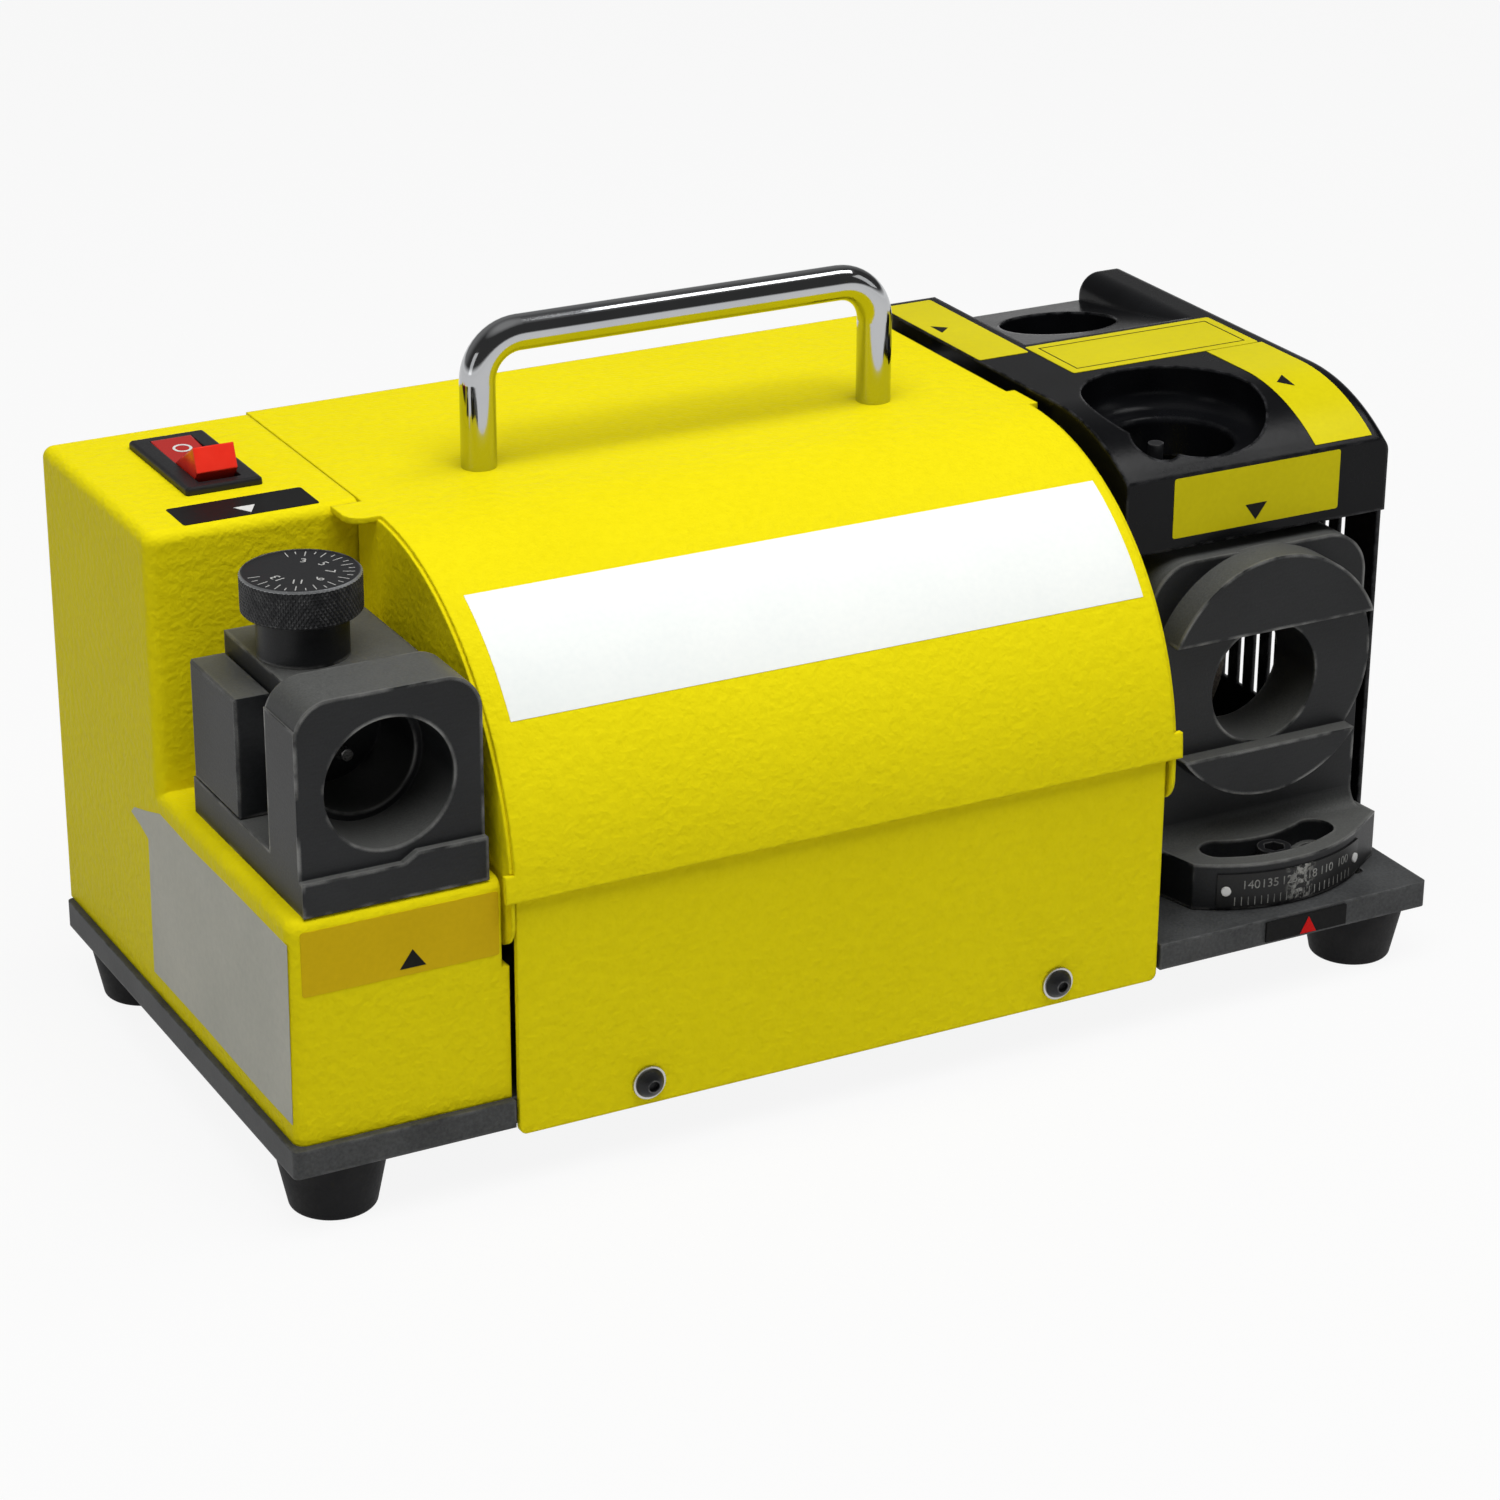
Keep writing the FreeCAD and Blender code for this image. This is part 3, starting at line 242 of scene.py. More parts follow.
addFinish("headBlack", headBlack, Specular_IOR_Level=0.12)


# matte textured grey of the base plate
baseLook = {"deep": (0.028, 0.029, 0.030), "bright": (0.066, 0.068, 0.069), "worn": (0.2, 0.2, 0.2)}


def baseGrey(w):
    grain = w.spots(1300, 2.0)
    tone = (w.spots(60, 4.0) * 0.5 + grain * 0.5).ramp(0.35, 0.65)
    edge = (w.edges(0.0008, 2.0) * w.spots(260, 3.0).ramp(0.35, 0.7)) * 0.5
    return {
        "Base Color": edge.over(tone.tint(baseLook["deep"], baseLook["bright"]), baseLook["worn"]),
        "Roughness": 0.48 + grain * 0.2,
        "Normal": w.bumps(grain, 0.4, 0.0001, w.rounded(0.0008)),
    }


addFinish("baseGrey", baseGrey, Specular_IOR_Level=0.3)


# blackened milled steel of the gauge and the seat, with dust and a painted highlight on its upward faces
steelLook = {"deep": (0.006, 0.0064, 0.007), "bright": (0.018, 0.019, 0.0205), "worn": (0.3, 0.3, 0.29),
             "dust": (0.105, 0.107, 0.102)}


def blackenedSteel(w):
    mill = w.spots(240, 2.0, (1.0, 1.0, 9.0))
    grain = w.spots(1900, 3.0)
    tone = (w.spots(28, 5.0) * 0.55 + grain * 0.3 + mill * 0.15).ramp(0.32, 0.68)
    edge = (w.edges(0.001, 2.8) * w.spots(95, 5.0).ramp(0.42, 0.6)) * 0.7
    # upward faces turn pale grey: dust, together with a painted highlight standing in for the overhead light
    # on the tops
    dustAndTopHighlight = w.upward() * (0.4 + grain * 0.8).atMost(1.0)
    colour = dustAndTopHighlight.over(tone.tint(steelLook["deep"], steelLook["bright"]), steelLook["dust"])
    return {
        "Base Color": edge.over(colour, steelLook["worn"]),
        "Metallic": edge * 0.9,
        "Roughness": 0.4 + grain * 0.16 - edge * 0.1,
        "Normal": w.bumps(grain * 0.8 + mill * 0.4, 0.5, 0.0001, w.rounded(0.0006)),
    }


addFinish("blackenedSteel", blackenedSteel, Specular_IOR_Level=0.25)


def oiledBlack(w):  # black oxide on screws and the dial
    grain = w.spots(2600, 2.0)
    edge = (w.edges(0.0004, 2.0) * w.spots(500, 3.0).ramp(0.35, 0.65)) * 0.55
    return {
        "Base Color": edge.over(grain.tint((0.008, 0.008, 0.009), (0.024, 0.025, 0.027)), (0.3, 0.3, 0.3)),
        "Metallic": 0.3 + edge * 0.5,
        "Roughness": 0.3 + grain * 0.2,
        "Normal": w.bumps(grain, 0.2, 0.00004, w.rounded(0.0003)),
    }


addFinish("oiledBlack", oiledBlack, Specular_IOR_Level=0.3)


def brightSteel(w):
    lines = w.spots(700, 2.0, (1.0, 1.0, 14.0))
    tone = w.spots(120, 4.0)
    return {
        "Base Color": tone.tint((0.42, 0.42, 0.41), (0.66, 0.65, 0.63)),
        "Roughness": 0.18 + lines * 0.2,
        "Normal": w.bumps(lines, 0.15, 0.00003, w.rounded(0.0003)),
    }


addFinish("brightSteel", brightSteel, Metallic=1.0)


def handleChrome(w):
    haze = w.spots(70, 4.0)
    lines = w.spots(500, 2.0, (0.15, 1.0, 1.0))
    return {
        "Base Color": haze.tint((0.42, 0.435, 0.46), (0.52, 0.52, 0.52)),
        "Roughness": 0.03 + haze * 0.1,
        "Normal": w.bumps(lines, 0.12, 0.00004, w.rounded(0.0003)),
    }


addFinish("handleChrome", handleChrome, Metallic=1.0)


def zincSheet(w):
    spangle = w.spots(160, 3.0)
    fine = w.spots(900, 2.0)
    return {
        "Base Color": (spangle * 0.5 + fine * 0.5).tint((0.40, 0.41, 0.42), (0.54, 0.55, 0.56)),
        "Roughness": 0.32 + spangle * 0.2,
        "Normal": w.bumps(fine, 0.12, 0.00004, w.rounded(0.0005)),
    }


addFinish("zincSheet", zincSheet, Metallic=0.9)


def castAluminium(w):
    grain = w.spots(1400, 3.0)
    return {
        "Base Color": w.spots(90, 4.0).tint((0.42, 0.42, 0.43), (0.56, 0.56, 0.56)),
        "Roughness": 0.4 + grain * 0.2,
        "Normal": w.bumps(grain, 0.3, 0.00008, w.rounded(0.0006)),
    }


addFinish("castAluminium", castAluminium, Metallic=0.9)


def rivetAluminium(w):
    grain = w.spots(1800, 2.0)
    return {
        "Base Color": w.spots(150, 3.0).tint((0.66, 0.66, 0.65), (0.82, 0.82, 0.80)),
        "Metallic": 0.2 + grain * 0.2,
        "Roughness": 0.4 + grain * 0.15,
        "Normal": w.bumps(grain, 0.2, 0.00004, w.rounded(0.0004)),
    }


addFinish("rivetAluminium", rivetAluminium)


def coreSteel(w):  # stacked sheets of the armature
    stack = w.spots(2200, 0.0, (1.0, 0.02, 0.02))
    return {
        "Base Color": stack.ramp(0.4, 0.6).tint((0.10, 0.10, 0.10), (0.25, 0.24, 0.23)),
        "Roughness": 0.4 + stack * 0.2,
        "Normal": w.bumps(stack, 0.3, 0.0001, w.rounded(0.0004)),
    }


addFinish("coreSteel", coreSteel, Metallic=0.8)


def copperWire(w):
    turns = w.spots(1500, 1.0, (1.0, 0.2, 0.2))
    return {
        "Base Color": turns.ramp(0.35, 0.65).tint((0.33, 0.11, 0.04), (0.62, 0.27, 0.11)),
        "Roughness": 0.25 + turns * 0.2,
        "Normal": w.bumps(turns, 0.5, 0.0002, w.rounded(0.0005)),
    }


addFinish("copperWire", copperWire, Metallic=0.9)


def wheelGrit(w):
    grains = w.spots(2400, 2.0)
    tone = w.spots(60, 3.0)
    mixed = (grains * 0.7 + tone * 0.3).ramp(0.38, 0.62)
    return {
        "Base Color": mixed.tint((0.16, 0.13, 0.10), (0.44, 0.39, 0.32)),
        "Roughness": 0.7 + grains * 0.2,
        "Normal": w.bumps(grains, 0.8, 0.0002, w.rounded(0.0003)),
    }


addFinish("wheelGrit", wheelGrit)


def darkMagnet(w):
    grain = w.spots(1200, 3.0)
    return {
        "Base Color": grain.tint((0.03, 0.03, 0.032), (0.075, 0.075, 0.078)),
        "Roughness": 0.5 + grain * 0.2,
        "Normal": w.bumps(grain, 0.3, 0.00008, w.rounded(0.0004)),
    }


addFinish("darkMagnet", darkMagnet)


def footRubber(w):
    grain = w.spots(1100, 3.0)
    dust = w.spots(45, 4.0).ramp(0.45, 0.8)
    return {
        "Base Color": dust.tint((0.014, 0.014, 0.015), (0.034, 0.033, 0.033)),
        "Roughness": 0.5 + grain * 0.25,
        "Normal": w.bumps(grain, 0.35, 0.0001, w.rounded(0.0008)),
    }


addFinish("footRubber", footRubber, Specular_IOR_Level=0.1)


def blackPlastic(w):
    grain = w.spots(1700, 2.0)
    return {
        "Base Color": w.spots(80, 3.0).tint((0.008, 0.008, 0.009), (0.02, 0.02, 0.021)),
        "Roughness": 0.34 + grain * 0.2,
        "Normal": w.bumps(grain, 0.25, 0.00006, w.rounded(0.0005)),
    }


addFinish("blackPlastic", blackPlastic, Specular_IOR_Level=0.3)


rockerLook = {"deep": (0.88, 0.026, 0.014), "bright": (0.98, 0.045, 0.024), "paintedShadeTop": (0.42, 0.014, 0.01)}


def rockerRed(w):
    glow = w.spots(220, 2.0)
    body = glow.tint(rockerLook["deep"], rockerLook["bright"])
    return {
        # upward faces of the rocker are painted a darker red: painted shade on its top
        "Base Color": w.upward().ramp(0.5, 0.95).over(body, rockerLook["paintedShadeTop"]),
        "Roughness": 0.14 + glow * 0.1,
        "Normal": w.bumps(w.spots(900, 1.0), 0.05, 0.00004, w.rounded(0.0006)),
    }


addFinish("rockerRed", rockerRed, Specular_IOR_Level=0.3)


def printed(name, dark, light, shine=0.3):  # printed film of stickers and marks
    def film(w):
        fibre = w.spots(700, 3.0)
        return {
            "Base Color": (w.spots(35, 4.0) * 0.6 + fibre * 0.4).ramp(0.3, 0.7).tint(dark, light),
            "Roughness": shine + fibre * 0.15,
            "Normal": w.bumps(w.spots(120, 2.0), 0.06, 0.0001, w.rounded(0.0001)),
        }

    return addFinish(name, film, Specular_IOR_Level=0.06)


printed("whiteFilm", (0.84, 0.87, 0.85), (0.90, 0.92, 0.89), 0.26)
printed("paperLabel", (0.47, 0.47, 0.41), (0.57, 0.56, 0.49), 0.5)
printed("yellowFilm", (0.60, 0.52, 0.003), (0.68, 0.595, 0.005), 0.26)
printed("orangeFilm", (0.62, 0.42, 0.003), (0.70, 0.48, 0.005), 0.28)
printed("blackFilm", (0.006, 0.006, 0.006), (0.014, 0.014, 0.014), 0.32)
printed("blackInk", (0.008, 0.008, 0.007), (0.018, 0.017, 0.015), 0.4)
printed("whiteInk", (0.62, 0.62, 0.60), (0.74, 0.74, 0.72), 0.4)
printed("greyInk", (0.36, 0.36, 0.35), (0.50, 0.50, 0.48), 0.4)
printed("fadedInk", (0.03, 0.03, 0.03), (0.44, 0.44, 0.42), 0.4)
printed("redInk", (0.55, 0.006, 0.006), (0.70, 0.012, 0.01), 0.35)


rubSpec = {"x": 283.0, "core": 1.3, "fallPerMetre": 260, "pale": (0.3, 0.3, 0.28)}


def scaleFilm(w):  # black strip, rubbed pale in the middle
    fibre = w.spots(900, 4.0)
    along = w.node("SeparateXYZ", None, {0: w.node("TexCoord", out="Object")}, 0)
    aside = w.math("ABSOLUTE", along - at(rubSpec["x"], 0, 0).x, 0.0)
    middle = rubSpec["core"] - aside * rubSpec["fallPerMetre"]
    rubbed = middle.atLeast(0.0).atMost(1.0) * fibre.ramp(0.47, 0.6)
    return {
        "Base Color": rubbed.over(fibre.tint((0.006, 0.006, 0.006), (0.015, 0.015, 0.015)), rubSpec["pale"]),
        "Roughness": 0.3 + fibre * 0.2,
        "Normal": w.bumps(rubbed, 0.2, 0.0001, w.rounded(0.0001)),
    }


addFinish("scaleFilm", scaleFilm, Specular_IOR_Level=0.25)
print("finishes made,", len(finishes))


# which finish each frame node wears
wears = {
    "yellowCoat": ["left_housing", "hood_skin", "hood_flank_left", "hood_flank_right", "hood_lug_left",
                   "hood_lug_right", "lower_panel", "rear_panel"],
    "headBlack": ["head_casting", "end_cover"],
    "baseGrey": ["base_plate"],
    "footRubber": ["foot_front_left", "foot_front_right", "foot_rear_left", "foot_rear_right"],
    "blackenedSteel": ["gauge_block", "gauge_jaw", "dial_bush", "seat_casting"],
    "oiledBlack": ["panel_screws", "clamp_screw", "cover_screws", "handle_screws", "gauge_screws",
                   "gauge_dial", "port_pins"],
    "rivetAluminium": ["scale_rivets"],
    "brightSteel": ["gauge_pins", "panel_washers", "hinge_pin_left", "hinge_pin_right",
                    "motor_shaft", "bearing_left", "bearing_right", "swivel_pin", "wheel_nut",
                    "foot_screws"],
    "handleChrome": ["handle"],
    "zincSheet": ["storage_tray", "motor_straps", "motor_cradle", "motor_can"],
    "castAluminium": ["motor_bell_left", "motor_bell_right", "wheel_hub"],
    "coreSteel": ["armature_core"],
    "copperWire": ["armature_coils", "commutator"],
    "wheelGrit": ["grinding_wheel"],
    "darkMagnet": ["motor_magnets", "carbon_brushes"],
    "blackPlastic": ["switch_bezel", "cord_gland", "terminal_block", "brush_holders", "cooling_fan"],
    "rockerRed": ["switch_rocker"],
    "blackFilm": ["pointer_plate"],
    "scaleFilm": ["scale_strip"],
}
for finish, members in wears.items():
    for name in members:
        nodes[name].data.materials.clear()
        nodes[name].data.materials.append(finishes[finish])
bare = sorted(set(nodes) - {name for members in wears.values() for name in members})
print("nodes finished, left bare:", bare)


# finished pieces: mesh in place, object at the origin
def addPiece(name, bm, body, finish, sharpDeg=35):
    mesh = bpy.data.meshes.new(name)
    bmesh.ops.recalc_face_normals(bm, faces=bm.faces[:])
    bm.to_mesh(mesh)
    bm.free()
    for each in [finish] if isinstance(finish, str) else finish:
        mesh.materials.append(finishes[each])
    mesh.polygons.foreach_set("use_smooth", [True] * len(mesh.polygons))
    mesh.set_sharp_from_angle(angle=math.radians(sharpDeg))
    piece = bpy.data.objects.new(name, mesh)
    scene.collection.objects.link(piece)
    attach(piece, body)
    return piece


def layMatrix(centre, across, up):  # a flat drawing's plane, its face towards across x up
    u, v = Vector(across).normalized(), Vector(up).normalized()
    turn = Matrix((u, v, u.cross(v))).transposed().to_4x4()
    return Matrix.Translation(centre) @ turn


def thicken(bm, thick):
    made = bmesh.ops.extrude_face_region(bm, geom=bm.faces[:])
    moved = [v for v in made["geom"] if isinstance(v, bmesh.types.BMVert)]
    bmesh.ops.translate(bm, verts=moved, vec=(0, 0, thick))


def flatSheet(width, height, corner, thick):
    bm = bmesh.new()
    bmesh.ops.create_grid(bm, x_segments=1, y_segments=1, size=0.5)
    bmesh.ops.scale(bm, verts=bm.verts[:], vec=(mm(width), mm(height), 1))
    bmesh.ops.bevel(bm, geom=bm.verts[:], offset=mm(corner), affect="VERTICES", segments=4,
                    profile=0.5, material=-1)
    thicken(bm, mm(thick))
    return bm


def triangleSheet(width, height, thick):
    bm = bmesh.new()
    bmesh.ops.create_circle(bm, cap_ends=True, segments=3, radius=1)
    bmesh.ops.scale(bm, verts=bm.verts[:], vec=(mm(width) / math.sqrt(3), mm(height) / 1.5, 1))
    bmesh.ops.translate(bm, verts=bm.verts[:], vec=(0, -mm(height) / 6, 0))
    thicken(bm, mm(thick))
    return bm


def layDown(bm, matrix):
    bmesh.ops.transform(bm, matrix=matrix, verts=bm.verts[:])
    return bm


# stickers: only their colour and a plain arrow
filmThick = 0.12
filmCorner = 0.7
inkThick = 0.06
borderLine = 0.35
stickerSpec = {
    "stepSticker": {"centre": (29.0, 2.2, 46.2), "size": (49.2, 16.2), "across": xAxis, "up": zAxis,
                    "finish": "orangeFilm", "slot": "yellow_paint",
                    "arrow": (2.8, -4.1, 6.6, 4.6, 1), "ink": "blackInk"},
    "switchSticker": {"centre": (29.9, 92.5, 123.1), "size": (34.6, 12.4), "across": xAxis, "up": yAxis,
                      "finish": "blackFilm", "slot": "black_plate",
                      "arrow": (0.2, -2.6, 5.5, 4.7, -1), "ink": "whiteInk"},
    "rearPortSticker": {"centre": (249.2, 129.8, 124.7), "size": (51.8, 15.2), "across": -yAxis, "up": xAxis,
                        "finish": "yellowFilm", "slot": "yellow_paint",
                        "arrow": (-2.0, -2.6, 6.2, 3.6, 1), "ink": "blackInk"},
    "topSticker": {"centre": (286.9, 95.7, 124.7), "size": (58.0, 24.4), "across": xAxis, "up": yAxis,
                   "finish": "yellowFilm", "slot": "yellow_paint", "ink": "blackInk", "border": 2.6},
    "apronSticker": {"centre": (280.8, 31.0, 104.5), "size": (50.7, 16.0), "across": xAxis, "up": zAxis,
                     "finish": "yellowFilm", "slot": "yellow_paint",
                     "arrow": (-0.2, -4.6, 6.6, 4.4, -1), "ink": "blackInk"},
}


def addSticker(name, spec):
    width, height = spec["size"]
    place = layMatrix(at(*spec["centre"]), spec["across"], spec["up"])
    bm = layDown(flatSheet(width, height, filmCorner, filmThick), place)
    addPiece(name, bm, "chassis", spec["finish"])
    lifted = place @ Matrix.Translation((0, 0, mm(filmThick)))
    if "arrow" in spec:
        u, v, wide, tall, way = spec["arrow"]
        flip = Matrix.Rotation(0 if way > 0 else math.pi, 4, "Z")
        bm = triangleSheet(wide, tall, inkThick)
        layDown(bm, lifted @ Matrix.Translation((mm(u), mm(v), 0)) @ flip)
        addPiece(name + "Arrow", bm, "chassis", spec["ink"])
    if "border" in spec:
        inset = spec["border"]
        bm = bmesh.new()
        bmesh.ops.create_grid(bm, x_segments=1, y_segments=1, size=0.5)
        bmesh.ops.scale(bm, verts=bm.verts[:], vec=(mm(width - 2 * inset), mm(height - 2 * inset), 1))
        inner = bm.faces[:]
        bmesh.ops.inset_region(bm, faces=inner, thickness=mm(borderLine), use_boundary=True,
                               use_even_offset=True)
        bmesh.ops.delete(bm, geom=inner, context="FACES")
        thicken(bm, mm(inkThick))
        addPiece(name + "Border", layDown(bm, lifted), "chassis", spec["ink"])


for name, spec in stickerSpec.items():
    addSticker(name, spec)
print("stickers laid,", len(stickerSpec))


# films that follow a bend: an edge spun round the bend, then given its thickness
hoodLow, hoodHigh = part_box("hood_skin")
hoodRadius = 74.0
filmLift = 0.02  # keeps a film clear of the sheet below it
hoodAxis = Vector((0, hoodLow.y + mm(hoodRadius), hoodHigh.z - mm(hoodRadius)))
plateSpec = {"left": 62.0, "right": 234.4, "fromDeg": 34.8, "toDeg": 61.0, "steps": 40}


def bentFilm(x0, x1, axisPoint, radius, fromDeg, toDeg, steps, runOn=0.0):
    bm = bmesh.new()
    start = math.radians(toDeg)
    y, z = -math.cos(start) * mm(radius), math.sin(start) * mm(radius)
    ends = [bm.verts.new((x, axisPoint.y + y, axisPoint.z + z)) for x in (x0, x1)]
    edge = bm.edges.new(ends)
    geom = [edge] + ends
    if runOn:
        run = bmesh.ops.extrude_edge_only(bm, edges=[edge])["geom"]
        moved = [v for v in run if isinstance(v, bmesh.types.BMVert)]
        bmesh.ops.translate(bm, verts=moved, vec=(0, mm(runOn), 0))
    bmesh.ops.spin(bm, geom=geom, cent=axisPoint, axis=(1, 0, 0), angle=math.radians(toDeg - fromDeg),
                   steps=steps, use_duplicate=False)
    bmesh.ops.remove_doubles(bm, verts=bm.verts[:], dist=1e-7)
    return bm


def outward(bm, axisPoint, thick):  # wall thickness away from the bend's axis
    bmesh.ops.recalc_face_normals(bm, faces=bm.faces[:])
    face = max(bm.faces, key=lambda f: f.calc_area())
    away = face.calc_center_median() - axisPoint
    away.x = 0
    if face.normal.dot(away) < 0:
        bmesh.ops.reverse_faces(bm, faces=bm.faces[:])
    bmesh.ops.solidify(bm, geom=bm.faces[:], thickness=-mm(thick))
    return bm


spec = plateSpec
film = bentFilm(at(spec["left"], 0, 0).x, at(spec["right"], 0, 0).x, hoodAxis, hoodRadius + filmLift,
                spec["fromDeg"], spec["toDeg"], spec["steps"])
addPiece("hoodPlate", outward(film, hoodAxis, filmThick), "hood", "whiteFilm")
headLow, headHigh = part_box("head_casting")
headRadius, headDrop = 56.0, 11.4
crownReach = math.sqrt(headRadius ** 2 - (headRadius - headDrop) ** 2)
headAxis = Vector((0, headLow.y + mm(crownReach), headHigh.z - mm(headRadius)))
crownDeg = math.degrees(math.asin(crownReach / headRadius))
crownSpec = {"left": 299.0, "right": 316.6, "short": 1.6, "runOn": 18.2, "steps": 24,
             "arrowX": 304.0, "arrowDeg": 10.0, "arrowSize": (6.2, 3.6)}
spec = crownSpec
film = bentFilm(at(spec["left"], 0, 0).x, at(spec["right"], 0, 0).x, headAxis, headRadius + filmLift,
                90 - crownDeg + spec["short"], 90, spec["steps"], spec["runOn"])
addPiece("crownSticker", outward(film, headAxis, filmThick), "chassis", "yellowFilm")
tilt = math.radians(spec["arrowDeg"])
out = Vector((0, -math.sin(tilt), math.cos(tilt)))
crownPoint = headAxis + out * mm(headRadius + filmLift + filmThick)
crownPoint.x += at(spec["arrowX"], 0, 0).x
bm = triangleSheet(*spec["arrowSize"], inkThick)
layDown(bm, layMatrix(crownPoint, (0, math.cos(tilt), math.sin(tilt)), -xAxis))
addPiece("crownStickerArrow", bm, "chassis", "blackInk")
print("bent films laid")


# bare paper label with one torn corner on the left wall
labelSpec = {"wallX": 1.7, "thick": 0.14, "outline": (
    (4.4, 5.2), (24.0, 4.9), (58.0, 5.5), (93.5, 5.4), (93.0, 24.0), (92.4, 41.8), (97.5, 43.4),
    (103.8, 44.7), (101.6, 46.6), (93.0, 49.0), (83.5, 52.0), (62.0, 51.2), (40.0, 51.5), (3.4, 51.4),
    (3.9, 30.0))}


def addLabel(spec):
    bm = bmesh.new()
    bm.faces.new([bm.verts.new(at(spec["wallX"], y, z)) for y, z in spec["outline"]])
    made = bmesh.ops.extrude_face_region(bm, geom=bm.faces[:])
    moved = [v for v in made["geom"] if isinstance(v, bmesh.types.BMVert)]
    bmesh.ops.translate(bm, verts=moved, vec=(-mm(spec["thick"]), 0, 0))
    addPiece("sideLabel", bm, "chassis", "paperLabel")


addLabel(labelSpec)


# numerals and strokes, cut as thin solids
def numeral(text, tall, matrix, target):
    curve = bpy.data.curves.new("numeral", "FONT")
    curve.body = text
    curve.size = mm(tall)
    curve.align_x = "CENTER"
    curve.align_y = "CENTER"
    curve.extrude = mm(inkThick) / 2
    holder = bpy.data.objects.new("numeral", curve)
    scene.collection.objects.link(holder)
    made = holder.evaluated_get(bpy.context.evaluated_depsgraph_get())
    mesh = bpy.data.meshes.new_from_object(made)
    mesh.transform(matrix)
    target.from_mesh(mesh)
    bpy.data.objects.remove(holder)
    bpy.data.curves.remove(curve)
    bpy.data.meshes.remove(mesh)


def stroke(wide, tall, matrix, target):
    size = Matrix.Diagonal((mm(wide), mm(tall), mm(inkThick), 1))
    bmesh.ops.create_cube(target, size=1, matrix=matrix @ size)


# knurled dial: a profile spun round, then every second point of the wall pressed in
dialSpec = {
    "centre": (26.5, 48.5), "floor": 112.9, "radius": 14.4, "height": 9.5, "chamfer": 0.55,
    "teeth": 76, "rows": 10, "depth": 0.32, "spindle": 4.0, "foot": 88.0,
    "firstValue": 2.0, "lastValue": 14.0, "step": 0.5, "degPerValue": 22.5, "rearValue": 3.0, "rearDeg": 28.0,
    "numerals": (3, 5, 7, 9, 11, 13), "numeralRing": 6.7, "numeralTall": 3.6, "rim": 12.6,
    "dish": 0.25, "dishSlope": 0.35, "longMark": 2.9, "shortMark": 1.5, "markWide": 0.26,
}


def addDial(spec):
    x, y = spec["centre"]
    floor, top = spec["floor"], spec["floor"] + spec["height"]
    r, c = spec["radius"], spec["chamfer"]
    wall = [(r, floor + c + (spec["height"] - 2 * c) * i / spec["rows"]) for i in range(spec["rows"] + 1)]
    profile = [(0, spec["foot"]), (spec["spindle"], spec["foot"]), (spec["spindle"], floor), (r - c, floor)]
    face = top - spec["dish"]
    profile += wall + [(r - c, top), (r - c - spec["dishSlope"], face), (0, face)]
    bm = bmesh.new()
    points = [bm.verts.new(at(x + a, y, z)) for a, z in profile]
    edges = [bm.edges.new(pair) for pair in zip(points, points[1:])]
    bmesh.ops.spin(bm, geom=points + edges, cent=at(x, y, 0), axis=(0, 0, 1), angle=math.tau,
                   steps=2 * spec["teeth"], use_merge=True)
    bmesh.ops.remove_doubles(bm, verts=bm.verts[:], dist=1e-6)
    centre = at(x, y, 0)
    stepAngle = math.tau / (2 * spec["teeth"])
    rowTall = mm(spec["height"] - 2 * c) / spec["rows"]
    low = set()
    for v in bm.verts:
        flat = Vector((v.co.x - centre.x, v.co.y - centre.y, 0))
        if abs(flat.length - mm(r)) > 1e-6:
            continue
        column = round(math.atan2(flat.y, flat.x) / stepAngle)
        row = round((v.co.z - at(0, 0, floor + c).z) / rowTall)
        if (column + row) % 2:
            low.add(v)
            v.co -= flat.normalized() * mm(spec["depth"])
    for quad in bm.faces[:]:
        pressed = [v for v in quad.verts if v in low]
        if len(quad.verts) == 4 and len(pressed) == 2:
            bmesh.utils.face_split(quad, *pressed)
    topZ = at(0, 0, top).z
    for facet in bm.faces:  # the worn rim shows bare metal
        middle = facet.calc_center_median()
        ring = (middle.xy - centre.xy).length
        facet.material_index = 1 if middle.z > topZ - mm(c) and ring > mm(r - c - 0.1) else 0
    piece = addPiece("dialKnob", bm, "dial", ["oiledBlack", "zincSheet"], 25)
    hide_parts("gauge_dial")
    marks = bmesh.new()
    count = round((spec["lastValue"] - spec["firstValue"]) / spec["step"])
    for i in range(count + 1):
        value = spec["firstValue"] + spec["step"] * i
        turn = Matrix.Rotation(-math.radians((value - spec["rearValue"]) * spec["degPerValue"]
                                             + spec["rearDeg"]), 4, "Z")
        whole = abs(value - round(value)) < 0.01
        long = spec["longMark"] if whole else spec["shortMark"]
        place = Matrix.Translation(at(x, y, face + inkThick / 2)) @ turn
        stroke(spec["markWide"], long, place @ Matrix.Translation((0, mm(spec["rim"] - long / 2), 0)), marks)
        if whole and round(value) in spec["numerals"]:
            numeral(str(round(value)), spec["numeralTall"],
                    place @ Matrix.Translation((0, mm(spec["numeralRing"]), 0)), marks)
    addPiece("dialMarks", marks, "dial", "greyInk")


addDial(dialSpec)
print("dial turned")


# degree marks on the seat's strip, and the red pointer under it
scaleSpec = {"centre": (281.5, 50.0), "radius": 45.0, "tall": 3.4, "numeralZ": 7.2,
             "numerals": {140: -16.6, 135: -9.9, 125: -2.6, 118: 5.5, 110: 13.2, 100: 22.0},
             "firstDeg": -21.9, "stepDeg": 2.3, "lines": 22, "lineLow": 1.5, "lineTall": 2.4,
             "lineWide": 0.24}


